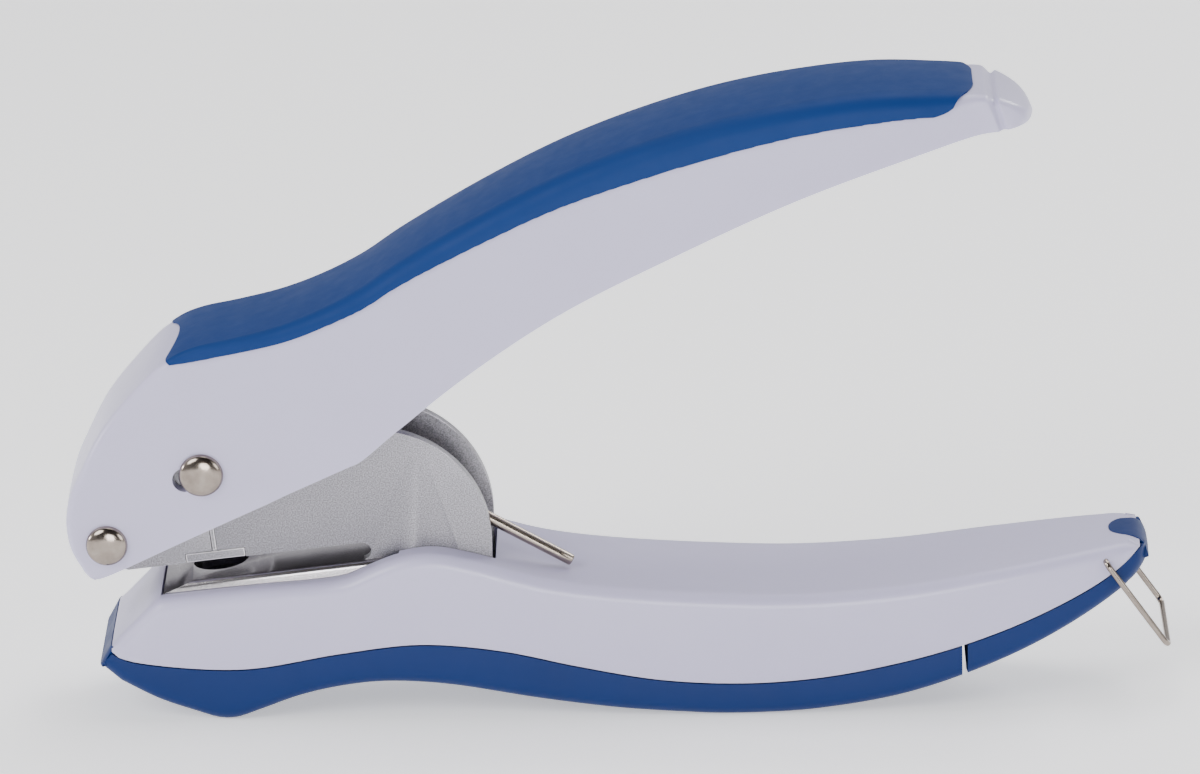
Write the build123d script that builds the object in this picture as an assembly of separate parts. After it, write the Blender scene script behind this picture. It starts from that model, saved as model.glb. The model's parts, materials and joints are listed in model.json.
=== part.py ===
"""One-hole hand punch: two plastic handles around a plate frame, a punch, its die, a spring and a lock bail.

Axes: +X runs from the nose to the tail, +Y away from the near side, +Z up. The punch stands on its tray.
The jaw tilts up towards the tail, and the punch moves square to the jaw.
"""
import os
from math import cos, hypot, radians, sin

from build123d import *

os.makedirs("parts", exist_ok=True)

# ---- overall sizes (mm)
grip_length = 75.7        # lower handle, from the back of the frame to the end of the tail
lower_width = 18.5        # lower handle at its widest
upper_width = 17.0        # upper handle at its widest
nose_width = 16.5         # lower handle at the nose
tail_width = 12.6         # lower handle at the bail holes
tip_width = 12.2          # upper handle at its tip

# ---- walls and skins
shell_wall = 1.7
grip_skin = 1.3
roof_wall = 1.2           # pale shell under the grip
tray_wall = 1.5
parting_gap = 0.12        # between the pale shell and the blue pieces

# ---- jaw and punch
jaw_tilt = 6.2            # degrees
punch_diameter = 6.35
die_clearance = 0.05      # radial, punch to die and to guide
paper_gap = 2.1
die_thickness = 2.0
die_width = 12.4
die_edge_round = 0.7
lower_edge_round = 1.4
upper_edge_round = 1.6
die_centre = (-46.0, 16.85)
die_front = 6.6           # from the hole's centre to the front edge
die_back = 20.7           # from the hole's centre to the back end
throat_depth = 17.9       # from the punch axis to the end of the paper slot
punch_retract = 0.5       # tip above the underside of the guide at rest
punch_height = 16.4       # top of the punch above the die
punch_stroke = 4.855
closing_angle = 22.8      # degrees

# ---- frame
plate_thickness = 1.4
punch_side_gap = 0.975    # between the punch and each plate
lobe_radius = 3.2
frame_back = -14.4
frame_foot = 8.6
bridge_thickness = 2.0
bridge_front = -25.5
bridge_back = -14.0
spacer_front = -24.5
spacer_height = 6.0
spacer_pin_places = ((-22.6, 12.9), (-17.4, 12.9))
screw_places = (-22.6, -17.4)
screw_depth = 2.6
pocket_gap = 0.12
lead_drop_box = 4.0
die_land = 0.9
die_relief = 0.3
tip_radius = 9.0
tip_hollow = 0.6
arc_radius = 13.85
arc_centre = (frame_back - arc_radius, 20.7)
guide_length = 11.0
guide_height = 4.7
guide_flange = 1.1
guide_flange_over = 0.55  # flange longer than the punch is thick
guide_slit = 0.65

# ---- rivets and pins
brow_wall = 1.65          # upper handle beside the frame
pivot = (-58.6, 21.7)
drive_height = 13.4       # drive rivet above the die, along the punch
rivet_shank = 2.5
running_clearance = 0.05
slot_clearance = 0.18
drive_head = 5.1
pivot_head = 4.8
head_rise = 1.15
rolled_end = 4.0
rolled_rise = 0.8
washer_diameter = 5.6
washer_thickness = 0.5
side_clearance = 0.3      # between the frame and the handle's inner faces
spring_pin_diameter = 4.4
spring_pin_neck = 3.0
spacer_pin_diameter = 2.4
screw_shank = 2.2
screw_head = 4.0
screw_head_height = 1.4

# ---- spring
spring_wire = 1.35
spring_radius = 3.5       # to the middle of the wire
spring_coil_gap = 0.03      # between turns
spring_centre = (-25.2, 24.8)
spring_turns = 4
back_leg_slope = 30.0     # degrees below level
front_leg_slope = 6.0
back_leg_length = 21.0
front_leg_length = 20.4
front_leg_side = 2.3      # from the middle plane

# ---- bail
bail_wire = 0.7
bail_leg = 12.4
bail_rest_angle = -55.0   # degrees above level, at rest
bail_lock_angle = 96.0    # degrees above level, over the closed handle
bail_hole_height = 17.3
bail_hole_inset = 5.1     # from the tail's end
bail_hole_diameter = 1.3
bail_side_gap = 0.3       # between the tail and each leg
bail_hook = 2.2
groove_width = 1.3
groove_depth = 0.55
bail_bend = 0.9

# ---- tongue of the tail cap
tongue_length = 4.5
tongue_width = 5.4
tongue_depth = 1.4
brow_tab = 1.8

# ---- tray hinge
split_inset = 21.4        # from the tail's end to the split
split_width = 0.5
hinge_pin_diameter = 0.9
tray_hinge_z = 4.9
knuckle_radius = 1.0
ear_width = 1.6
ear_gap = 0.15            # between an ear and the tray
hinge_ear_y = 5.0

# ---- widths and places worked out from the sizes
frame_width = punch_diameter + 2 * (punch_side_gap + plate_thickness)
brow_width = frame_width + 2 * (side_clearance + brow_wall)
bail_half = tail_width / 2 + bail_side_gap + bail_wire / 2
spring_pitch = spring_wire + spring_coil_gap
guide_flange_length = punch_diameter + guide_flange_over
tail_end = frame_back + grip_length
split_x = tail_end - split_inset
bail_hole = (tail_end - bail_hole_inset, bail_hole_height)
tangent = (cos(radians(jaw_tilt)), sin(radians(jaw_tilt)))
normal = (-tangent[1], tangent[0])


def jaw(along, above):
    """Point on the middle plane, measured along the die from the hole and square to it."""
    return (
        die_centre[0] + along * tangent[0] + above * normal[0],
        die_centre[1] + along * tangent[1] + above * normal[1],
    )


def turned(point, centre, angle):
    """Point turned about a centre, positive raising what lies towards the tail."""
    dx = point[0] - centre[0]
    dz = point[1] - centre[1]
    c = cos(radians(angle))
    s = sin(radians(angle))
    return (centre[0] + dx * c - dz * s, centre[1] + dx * s + dz * c)


def polar(centre, radius, angle):
    """Point at a distance and an angle above level from a centre."""
    return (centre[0] + radius * cos(radians(angle)), centre[1] + radius * sin(radians(angle)))


drive = jaw(0, drive_height)
drive_down = jaw(0, drive_height - punch_stroke)
slot_end = turned(drive_down, pivot, closing_angle)
groove_closed = polar(bail_hole, bail_leg - bail_wire / 2 - 0.1, bail_lock_angle)
groove_open = turned(groove_closed, pivot, closing_angle)
brow_x = -29.3            # where the underside of the upper handle kinks up
brow_z = 31.4
reach = groove_open[0] - brow_x
rise = groove_open[1] - brow_z


def aft(fraction):
    """Place along the lower handle behind the frame."""
    return frame_back + fraction * grip_length


def arm(along, up):
    """Point on the upper handle behind the kink, as parts of its reach and rise."""
    return (brow_x + along * reach, brow_z + up * rise)


# ---- outlines in the XZ plane
lower_top = [
    (-31.3, 17.15), (-28.6, 18.35), (-25.2, 19.65), (-21.2, 20.2), (-17.0, 19.4), (-8.9, 17.1),
    (aft(0.167), 15.95), (aft(0.33), 14.95), (aft(0.47), 14.65), (aft(0.62), 15.35),
    (aft(0.77), 16.95), (aft(0.92), 18.7),
]
lower_bottom_front = [(-57.6, 4.75), (-53.2, 2.4), (-48.7, 0.75), (-46.4, 0.0)]
belly_flat = [(-46.4, 0.0), (-44.4, 0.0)]
lower_bottom_middle = [
    (-44.4, 0.0), (-41.7, 0.95), (-37.0, 2.7), (-32.35, 3.8), (-27.7, 4.35), (-23.0, 4.25),
    (-18.5, 3.75), (-9.3, 2.1), (aft(0.19), 0.8), (aft(0.3), 0.15), (aft(0.335), 0.0),
]
waist_flat = [(aft(0.335), 0.0), (aft(0.415), 0.0)]
lower_bottom_back = [
    (aft(0.415), 0.0), (aft(0.495), 0.35), (aft(0.617), 1.8), (aft(0.722), 4.2), (aft(0.83), 7.6),
    (aft(0.925), 11.7), (aft(0.975), 14.6), (aft(1.0), 17.0),
]
parting = [
    (-59.2, 9.75), (-58.3, 8.35), (-56.8, 7.65), (-52.97, 6.95), (-46.0, 6.4), (-41.4, 6.6),
    (-32.15, 8.25), (-22.9, 9.3), (-13.7, 8.45), (aft(0.13), 6.4), (aft(0.25), 4.7),
    (aft(0.375), 4.1), (aft(0.495), 4.6), (aft(0.617), 6.2), (aft(0.722), 8.3), (aft(0.83), 11.3),
    (aft(0.925), 14.9), (aft(0.97), 17.5), (aft(0.985), 19.6),
]
chin = (-61.6, 18.6)
chin_back = (-58.8, 17.75)
upper_back = [
    chin, (-62.9, 21.2), (-63.25, 24.2), (-62.7, 27.4), (-61.4, 30.4),
    (-58.8, 35.3), (-55.2, 39.7), (-51.7, 42.9), (-49.6, 44.3), (-47.3, 45.2), (-43.5, 46.1),
    (-38.1, 47.45), (-33.46, 49.25), (-28.8, 51.7),
    arm(0.071, 0.572), arm(0.199, 0.71), arm(0.326, 0.8235), arm(0.452, 0.9105), arm(0.578, 0.977),
    arm(0.703, 1.02), arm(0.828, 1.044), arm(0.953, 1.037), arm(1.0, 1.022), arm(1.04, 0.998),
]
upper_tip = [arm(1.04, 0.998), arm(1.062, 0.965), arm(1.035, 0.934)]
upper_bottom = [
    (brow_x, brow_z), arm(0.059, 0.088), arm(0.172, 0.25), arm(0.322, 0.429), arm(0.511, 0.6),
    arm(0.699, 0.7525), arm(0.886, 0.8725), arm(0.98, 0.922), arm(1.035, 0.934),
]
grip_line = [
    (-52.4, 44.9), (-51.2, 43.6), (-49.3, 43.75), (-47.0, 44.1), (-42.4, 45.0), (-37.8, 46.1),
    (-33.2, 47.85), (-28.6, 50.0), arm(0.073, 0.523), arm(0.2, 0.6446), arm(0.326, 0.75),
    arm(0.451, 0.827), arm(0.576, 0.893), arm(0.701, 0.945), arm(0.825, 0.9755), arm(0.887, 0.983),
    arm(0.917, 0.995), arm(0.949, 1.032), arm(0.962, 1.1),
]


def wire_face(edges):
    """Face in the XZ plane bounded by a closed run of edges given in (x, z)."""
    return Plane.XZ * make_face(Curve() + edges)


def slab(edges, half_width):
    """Prism of an XZ outline, as far either side of the middle plane."""
    return extrude(wire_face(edges), half_width, both=True)


def box(x0, x1, z0, z1, y0, y1):
    """Box between two corners."""
    centre = ((x0 + x1) / 2, (y0 + y1) / 2, (z0 + z1) / 2)
    return Pos(*centre) * Box(x1 - x0, y1 - y0, z1 - z0)


def rod(point, radius, y0, y1):
    """Round bar along Y."""
    return Plane((point[0], y0, point[1]), x_dir=(1, 0, 0), z_dir=(0, 1, 0)) * Cylinder(
        radius, y1 - y0, align=(Align.CENTER, Align.CENTER, Align.MIN)
    )


def plan_prism(stations, height):
    """Prism of a plan outline given as (x, half width), closed round at its last point."""
    far = [(x, w) for x, w in stations]
    near = [(x, -w) for x, w in reversed(stations)]
    side_far = Spline(far)
    side_near = Spline(near)
    front = Line(near[-1], far[0])
    back = Line(far[-1], near[0])
    return extrude(make_face(Curve() + [side_far, back, side_near, front]), height)


def lowered(points, amount):
    """The same outline points, lower by an amount."""
    return [(x, z - amount) for x, z in points]


def lower_outline():
    """Closed side outline of the lower handle with tray and tail cap."""
    nose_top = (-52.9, 15.0)
    nose_low = (-60.0, 6.9)
    return [
        Line(nose_low, (-58.5, 9.4)),
        Line((-58.5, 9.4), nose_top),
        Line(nose_top, lower_top[0]),
        Spline(lower_top + [(tail_end - 2.6, 19.1)]),
        ThreePointArc((tail_end - 2.6, 19.1), (tail_end - 0.7, 18.5), (tail_end, 17.0)),
        Spline(lower_bottom_back),
        Line(*waist_flat),
        Spline(lower_bottom_middle),
        Line(*belly_flat),
        Spline(lower_bottom_front),
        Line(lower_bottom_front[0], nose_low),
    ]


def lower_plan(inset):
    """Half widths of the lower handle along its length, drawn in by an inset."""
    return [
        (-60.0, nose_width / 2 - inset - 0.25),
        (-52.0, nose_width / 2 - inset),
        (-20.0, lower_width / 2 - inset - 0.35),
        (aft(0.45), lower_width / 2 - inset),
        (aft(0.75), lower_width / 2 - inset - 0.95),
        (bail_hole[0], tail_width / 2 - inset),
        (tail_end - 1.6, tail_width / 2 - inset - 1.6),
        (tail_end + 0.3, tail_width / 2 - inset - 3.4),
    ]


def long_edges(body, least_side):
    """Curved edges that run along the body, away from its middle plane."""
    return [e for e in body.edges() if e.geom_type == GeomType.BSPLINE and abs((e @ 0.5).Y) > least_side]


def lower_body():
    """The whole lower handle as one solid, its long edges rounded."""
    body = slab(lower_outline(), lower_width) & plan_prism(lower_plan(0), 40)
    return fillet(long_edges(body, 2.6), lower_edge_round)


def upper_outline():
    """Closed side outline of the upper handle with its grip."""
    return [
        ThreePointArc(chin_back, (-60.35, 17.4), chin),
        Spline(upper_back),
        ThreePointArc(*upper_tip),
        Spline(upper_bottom),
        Line(chin_back, upper_bottom[0]),
    ]


def upper_plan(inset):
    """Half widths of the upper handle along its length, drawn in by an inset."""
    return [
        (-63.8, brow_width / 2 - inset - 0.2),
        (-58.0, brow_width / 2 - inset),
        (-46.0, brow_width / 2 - inset + 0.05),
        (-30.0, (brow_width + upper_width) / 4 - inset),
        (arm(0.25, 0)[0], upper_width / 2 - inset - 0.12),
        (arm(0.5, 0)[0], upper_width / 2 - inset),
        (arm(0.75, 0)[0], upper_width / 2 - inset - 0.4),
        (arm(0.9, 0)[0], (upper_width + tip_width) / 4 - inset),
        (groove_open[0], tip_width / 2 - inset),
        (arm(1.045, 0)[0], tip_width / 2 - inset - 1.1),
        (arm(1.068, 0)[0], tip_width / 2 - inset - 2.4),
    ]


def upper_body():
    """The whole upper handle as one solid, its long edges rounded."""
    body = slab(upper_outline(), upper_width) & plan_prism(upper_plan(0), 90)
    back = [e for e in long_edges(body, 2.6) if e.length > grip_length]
    return fillet([e for e in back if above_underside(e @ 0.5)], upper_edge_round)


def above_underside(point):
    """True where a point of the upper handle is clear above its lower edge."""
    return point.Z > brow_z + 3 + 0.62 * (point.X - brow_x)


def above_line(points, top):
    """Everything above a line of XZ points, up to a height."""
    left = (points[0][0] - 6, points[0][1])
    right = points[-1]
    edges = [
        Line(left, points[0]),
        Spline(points),
        Line(right, (right[0], top)),
        Line((right[0], top), (left[0], top)),
        Line((left[0], top), left),
    ]
    return slab(edges, lower_width)


def jaw_box(a0, a1, s0, s1, y0, y1):
    """Box square to the jaw: along the die, above it, and across."""
    local = Plane((die_centre[0], 0, die_centre[1]), x_dir=(tangent[0], 0, tangent[1]), z_dir=(0, -1, 0))
    centre = ((a0 + a1) / 2, (s0 + s1) / 2, -(y0 + y1) / 2)
    return local * Pos(*centre) * Box(a1 - a0, s1 - s0, y1 - y0)


def jaw_rod(s0, s1, radius):
    """Round bar along the punch axis."""
    low = jaw(0, s0)
    plane = Plane((low[0], 0, low[1]), z_dir=(normal[0], 0, normal[1]))
    return plane * Cylinder(radius, s1 - s0, align=(Align.CENTER, Align.CENTER, Align.MIN))


def slot(start, end, width, y0, y1):
    """Straight slot with round ends between two XZ points, cut along Y."""
    dx = end[0] - start[0]
    dz = end[1] - start[1]
    length = hypot(dx, dz)
    plane = Plane((start[0], y0, start[1]), x_dir=(dx, 0, dz), z_dir=(0, 1, 0))
    middle = plane * Pos(length / 2, 0, 0) * Box(length, width, y1 - y0, align=(Align.CENTER, Align.CENTER, Align.MIN))
    return middle + rod(start, width / 2, y0, y1) + rod(end, width / 2, y0, y1)


def lower_cavity():
    """Hollow of the lower handle, open downwards."""
    ceiling = lowered(lower_top[:-1], shell_wall + 0.1)
    left = -56.2
    brow_inside = (-51.6, 15.0 - shell_wall - 0.5)
    last = ceiling[-1]
    edges = [
        Line((left, -5), (left, 8.6)),
        Line((left, 8.6), brow_inside),
        Line(brow_inside, ceiling[0]),
        Spline(ceiling),
        Line(last, (last[0], -5)),
        Line((last[0], -5), (left, -5)),
    ]
    return slab(edges, lower_width) & plan_prism(lower_plan(shell_wall), 40)


def bridge():
    """Cross bridge of the lower handle that the frame stands on."""
    inside = lower_width / 2 - shell_wall - 0.5
    low = box(bridge_front, bridge_back, frame_foot - bridge_thickness, frame_foot + 2.2, -7.1, 7.1)
    high = box(bridge_front, bridge_back, frame_foot + 1.2, frame_foot + 2.2, -inside - 1, inside + 1)
    return low + high


def tongue(grow):
    """Tongue of the tail cap on the top of the tail, as a plan shape cut upwards."""
    half = tongue_width / 2 + grow
    front = tail_end - tongue_length - grow
    plan = [
        Line((tail_end + 1, -half - 0.9), (tail_end - 1.2, -half - 0.2)),
        Line((tail_end - 1.2, -half - 0.2), (front + half, -half)),
        ThreePointArc((front + half, -half), (front, 0), (front + half, half)),
        Line((front + half, half), (tail_end - 1.2, half + 0.2)),
        Line((tail_end - 1.2, half + 0.2), (tail_end + 1, half + 0.9)),
        Line((tail_end + 1, half + 0.9), (tail_end + 1, -half - 0.9)),
    ]
    return Pos(0, 0, 18.9 - tongue_depth - grow) * extrude(make_face(Curve() + plan), 5)


def lower_handle_shell(body):
    """Pale shell of the lower handle with the frame's pocket and the bail's two holes."""
    upper = [(x, z + parting_gap) for x, z in parting]
    shell = (body & above_line(upper, 40)) - lower_cavity()
    shell = shell + bridge()
    side = frame_width / 2 + pocket_gap
    wide = die_width / 2 + pocket_gap
    front = jaw(-die_front, 0)[0] - 0.4
    shell = shell - box(front, jaw(die_back, 0)[0] + 0.3, frame_foot + 3, 30, -wide, wide)
    shell = shell - box(front + 1, frame_back + 0.35, frame_foot, 30, -side, side)
    for x in screw_places:
        shell = shell - Pos(x, 0, 0) * Cylinder(screw_shank / 2 + 0.1, 30, align=Align.CENTER)
        head = Pos(x, 0, frame_foot - bridge_thickness) * Cylinder(
            screw_head / 2 + 0.15, 2 * (screw_head_height + 0.1), align=Align.CENTER
        )
        shell = shell - head
    depth = tail_width / 2 - bail_hook - 0.2
    for y0, y1 in ((-tail_width, -depth), (depth, tail_width)):
        shell = shell - rod(bail_hole, bail_hole_diameter / 2, y0, y1)
    shell = shell - tongue(parting_gap)
    return shell


def knuckle_place():
    """Axis of the tray's hinge, just above the underside at the split."""
    return (split_x - knuckle_radius - 0.1, tray_hinge_z)


def chip_tray(body):
    """Blue tray that closes the nose and the underside, with a hinge knuckle at the split."""
    axis = knuckle_place()
    under = body - above_line(parting, 40)
    tray = under & box(-70, split_x - split_width / 2, -5, 30, -20, 20)
    inner = lower_plan(tray_wall)
    floor = lowered(lower_bottom_front + lower_bottom_middle[1:], -tray_wall)
    last = (axis[0] - knuckle_radius - 1.5, tray_hinge_z + 0.6)
    keep = [p for p in floor if -56 < p[0] < last[0] - 8]
    edges = [
        Line((-57.4, 30), (-57.4, 7.6)),
        Line((-57.4, 7.6), keep[0]),
        Spline(keep + [(aft(0.375), tray_wall), (aft(0.55), 1.05 + tray_wall), last]),
        Line(last, (last[0], 30)),
        Line((last[0], 30), (-57.4, 30)),
    ]
    tray = tray - (slab(edges, lower_width) & plan_prism(inner, 40))
    behind = box(axis[0], axis[0] + 9, axis[1], 30, -20, 20)
    below = box(axis[0], axis[0] + 9, -5, axis[1] + 0.01, -20, 20)
    round_end = rod(axis, knuckle_radius, -20, 20)
    tray = tray - (behind - round_end) - (below - round_end)
    for y in (-hinge_ear_y, hinge_ear_y):
        notch = rod(axis, knuckle_radius + ear_gap, y - ear_width / 2 - ear_gap, y + ear_width / 2 + ear_gap)
        tray = tray - notch
    return tray - rod(axis, hinge_pin_diameter / 2 + running_clearance, -20, 20)


def hinge_ears():
    """Two ears of the lower handle that carry the tray's hinge pin."""
    axis = knuckle_place()
    ear_top = tray_hinge_z + 9.9
    ears = []
    for y in (-hinge_ear_y, hinge_ear_y):
        y0 = y - ear_width / 2
        y1 = y + ear_width / 2
        ear = rod(axis, knuckle_radius, y0, y1)
        ear = ear + box(axis[0] + ear_gap, axis[0] + knuckle_radius, axis[1], ear_top, y0, y1)
        ears.append(ear - rod(axis, hinge_pin_diameter / 2, y0 - 1, y1 + 1))
    return ears


def tray_hinge_pin():
    """Pin of the tray's hinge."""
    half = hinge_ear_y + ear_width / 2 + 1.2
    return rod(knuckle_place(), hinge_pin_diameter / 2 - 0.01, -half, half)


def tail_cap(body):
    """Blue end of the lower handle, behind the split, with its tongue on the top."""
    under = body - above_line(parting, 40)
    cap = under & box(split_x + split_width / 2, tail_end + 5, -5, 30, -20, 20)
    cap = cap + (body & tongue(0))
    plan = plan_prism(lower_plan(tray_wall + 0.3), 40)
    hollow = box(split_x + tray_wall, bail_hole[0] - 4, -5, 30, -20, 20) & plan
    floor = lowered(lower_bottom_back[1:5], -tray_wall)
    edges = [
        Line((floor[0][0], 30), floor[0]),
        Spline(floor),
        Line(floor[-1], (floor[-1][0], 30)),
        Line((floor[-1][0], 30), (floor[0][0], 30)),
    ]
    return cap - (hollow & slab(edges, lower_width))


def plate_outline():
    """Side outline of a frame plate, before the die slot and the paper slot are cut."""
    lobe_high = polar(pivot, lobe_radius, 130)
    lobe_left = polar(pivot, lobe_radius, 200)
    lobe_low = polar(pivot, lobe_radius, 262)
    arc_top = polar(arc_centre, arc_radius, 100)
    arc_mid = polar(arc_centre, arc_radius, 45)
    arc_end = (frame_back, arc_centre[1])
    return [
        ThreePointArc(lobe_high, lobe_left, lobe_low),
        Line(lobe_low, jaw(-10.2, paper_gap)),
        Line(jaw(-10.2, paper_gap), jaw(-die_front + 0.3, paper_gap)),
        Line(jaw(-die_front + 0.3, paper_gap), jaw(-die_front + 0.3, -die_thickness - 3.0)),
        Line(jaw(-die_front + 0.3, -die_thickness - 3.0), (bridge_front - 6, frame_foot + 3.2)),
        Line((bridge_front - 6, frame_foot + 3.2), (bridge_front + 0.5, frame_foot)),
        Line((bridge_front + 0.5, frame_foot), (frame_back, frame_foot)),
        Line((frame_back, frame_foot), arc_end),
        ThreePointArc(arc_end, arc_mid, arc_top),
        Line(arc_top, (-47.5, 33.6)),
        Line((-47.5, 33.6), (-51.8, 32.0)),
        Line((-51.8, 32.0), lobe_high),
    ]


def frame_plate(side):
    """One side plate of the frame: side is -1 near, 1 far."""
    outer = frame_width / 2
    inner = outer - plate_thickness
    y0, y1 = sorted((side * inner, side * outer))
    plate = slab(plate_outline(), outer) & box(-70, 0, 0, 60, y0, y1)
    plate = plate - jaw_box(-die_front - 3, throat_depth - paper_gap / 2, 0, paper_gap, y0 - 1, y1 + 1)
    plate = plate - slot(
        jaw(throat_depth - paper_gap, paper_gap / 2),
        jaw(throat_depth - paper_gap / 2, paper_gap / 2),
        paper_gap,
        y0 - 1,
        y1 + 1,
    )
    plate = plate - jaw_box(-die_front - 3, die_back, -die_thickness, 0.001, y0 - 1, y1 + 1)
    half = guide_flange_length / 2 + 0.05
    plate = plate - jaw_box(-half, half, paper_gap - 1, paper_gap + guide_flange + 0.05, y0 - 1, y1 + 1)
    slit = guide_slit / 2
    top = drive_height - punch_stroke
    plate = plate - jaw_box(-slit, slit, paper_gap, top, y0 - 1, y1 + 1)
    plate = plate - slot(drive, drive_down, rivet_shank + 2 * slot_clearance, y0 - 1, y1 + 1)
    plate = plate - rod(pivot, rivet_shank / 2 + running_clearance, y0 - 1, y1 + 1)
    socket = sorted((side * (inner - 1), side * (inner + plate_thickness - 0.6)))
    plate = plate - rod(spring_centre, spring_pin_neck / 2, *socket)
    for place in spacer_pin_places:
        plate = plate - rod(place, spacer_pin_diameter / 2, y0 - 1, y1 + 1)
    return plate


def frame_spacer():
    """Block between the plates that the screws hold down."""
    half = frame_width / 2 - plate_thickness
    block = box(spacer_front, frame_back - 1.0, frame_foot, frame_foot + spacer_height, -half, half)
    for place in spacer_pin_places:
        block = block - rod(place, spacer_pin_diameter / 2, -half - 1, half + 1)
    for x in screw_places:
        block = block - Pos(x, 0, frame_foot) * Cylinder(screw_shank / 2, 2 * screw_depth, align=Align.CENTER)
    return block


def spacer_pins():
    """Two pins that join the plates and the spacer."""
    half = frame_width / 2
    return Compound([rod(place, spacer_pin_diameter / 2, -half, half) for place in spacer_pin_places])


def frame_screws():
    """Two screws that hold the spacer on the bridge from below."""
    screws = []
    low = frame_foot - bridge_thickness
    for x in screw_places:
        shank = Pos(x, 0, low + 0.1) * Cylinder(
            screw_shank / 2, bridge_thickness + screw_depth - 0.2, align=(Align.CENTER, Align.CENTER, Align.MIN)
        )
        head = Pos(x, 0, low) * Cylinder(
            screw_head / 2, screw_head_height, align=(Align.CENTER, Align.CENTER, Align.MIN)
        )
        recess = Pos(x, 0, low) * (Box(2.4, 0.6, 1.2) + Box(0.6, 2.4, 1.2))
        screws.append(shank + head - recess)
    return Compound(screws)


def die_plate():
    """Lower jaw with the die hole, its long edges rounded and its front drooping."""
    half = die_width / 2
    plate = jaw_box(-die_front, die_back, -die_thickness, 0, -half, half)
    along = [e for e in plate.edges() if e.length > 20 and (e @ 0.5).Z > die_centre[1] - 1]
    plate = fillet([e for e in along if e.center().Z > jaw(7, -die_thickness / 2)[1]], die_edge_round)
    lead = Plane(
        (jaw(-die_front, 0)[0], 0, jaw(-die_front, 0)[1]), x_dir=(cos(radians(24)), 0, sin(radians(24))), z_dir=(0, -1, 0)
    )
    plate = plate - lead * Pos(0, lead_drop_box / 2 - 1.1, 0) * Box(12, lead_drop_box, 2 * half + 2)
    plate = plate - jaw_rod(-die_thickness - 1, 1, punch_diameter / 2 + die_clearance)
    return plate - jaw_rod(-die_thickness - 1, -die_land, punch_diameter / 2 + die_relief)


def punch_guide():
    """Guide block between the plates, with a flange in the T-shaped windows and a web in the slits."""
    inner = frame_width / 2 - plate_thickness
    outer = frame_width / 2
    half = guide_length / 2
    block = jaw_box(-half, half, paper_gap, paper_gap + guide_height, -inner, inner)
    flange = guide_flange_length / 2
    block = block + jaw_box(-flange, flange, paper_gap, paper_gap + guide_flange, -outer, outer)
    web = guide_slit / 2 - 0.05
    block = block + jaw_box(-web, web, paper_gap, paper_gap + guide_height, -outer + 0.1, outer - 0.1)
    return block - jaw_rod(0, 12, punch_diameter / 2 + die_clearance)


def punch():
    """Round punch with a hollow-ground tip, a cross hole and a notch for the spring's front leg."""
    radius = punch_diameter / 2
    body = jaw_rod(paper_gap + punch_retract, punch_height, radius)
    tip = jaw(0, paper_gap + punch_retract - tip_radius + tip_hollow)
    body = body - rod(tip, tip_radius, -radius - 1, radius + 1)
    body = body - rod(drive, rivet_shank / 2, -radius - 1, radius + 1)
    end = front_leg_end()
    leg = front_leg_side - spring_wire / 2 - 0.15
    notch = box(end[0] - 0.3, end[0] + 6, end[1] - spring_wire / 2 - 0.5, end[1] + spring_wire / 2 + 0.2, leg, 6)
    return body - notch


def dome_head(point, y, side, diameter, height):
    """Domed rivet head on a flat at y, bulging to the given side."""
    radius = (diameter ** 2 / 4 + height ** 2) / (2 * height)
    ball = Pos(point[0], y + side * (height - radius), point[1]) * Sphere(radius)
    y0, y1 = sorted((y, y + side * (height + 1)))
    return ball & rod(point, diameter / 2 + 1, y0, y1)


def rivet(point, head, face):
    """Rivet with a domed head on the near face and a rolled end on a washer on the far face."""
    far = face + washer_thickness
    body = rod(point, rivet_shank / 2, -face, far)
    body = body + dome_head(point, -face, -1, head, head_rise)
    body = body + dome_head(point, far, 1, rolled_end, rolled_rise)
    hollow = rod(point, rivet_shank / 2 - 0.55, far - 2.5, far + 2)
    return body - hollow


def washer(point, face):
    """Washer under a rolled rivet end."""
    ring = rod(point, washer_diameter / 2, face, face + washer_thickness)
    return ring - rod(point, rivet_shank / 2, face - 1, face + 2)


def upper_cavity():
    """Hollow of the upper handle, open downwards, with flat inner faces beside the frame."""
    half = frame_width / 2 + side_clearance
    roof = lowered([p for p in upper_back if -46 < p[0] < arm(0.93, 0)[0]], grip_skin + roof_wall)
    lobe = polar(pivot, lobe_radius + 0.35, 180)
    lobe_high = polar(pivot, lobe_radius + 0.35, 130)
    last = roof[-1]
    edges = [
        Line((lobe[0], 5), lobe),
        ThreePointArc(lobe, polar(pivot, lobe_radius + 0.35, 155), lobe_high),
        Spline([lobe_high, (-57.6, 33.3), (-53.6, 38.3), (-48.4, 41.9), roof[0]]),
        Spline(roof),
        Line(last, (last[0] + 2, 5)),
        Line((last[0] + 2, 5), (lobe[0], 5)),
    ]
    return slab(edges, half)


def grip_region(drop):
    """Region above the grip's lower line, its front edge hollow round the pale brow."""
    line = [(x, z - drop) for x, z in grip_line]
    region = above_line(line[1:], 95) & box(-70, 70, 0, 95, -20, 20)
    front = line[1][0]
    sweep = [
        Line((front - 9, -20), (front - 0.3, -20)),
        Line((front - 0.3, -20), (front - 0.3, -6.6)),
        ThreePointArc((front - 0.3, -6.6), (front + brow_tab, 0), (front - 0.3, 6.6)),
        Line((front - 0.3, 6.6), (front - 0.3, 20)),
        Line((front - 0.3, 20), (front - 9, 20)),
        Line((front - 9, 20), (front - 9, -20)),
    ]
    return region - extrude(make_face(Curve() + sweep), 95)


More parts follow.
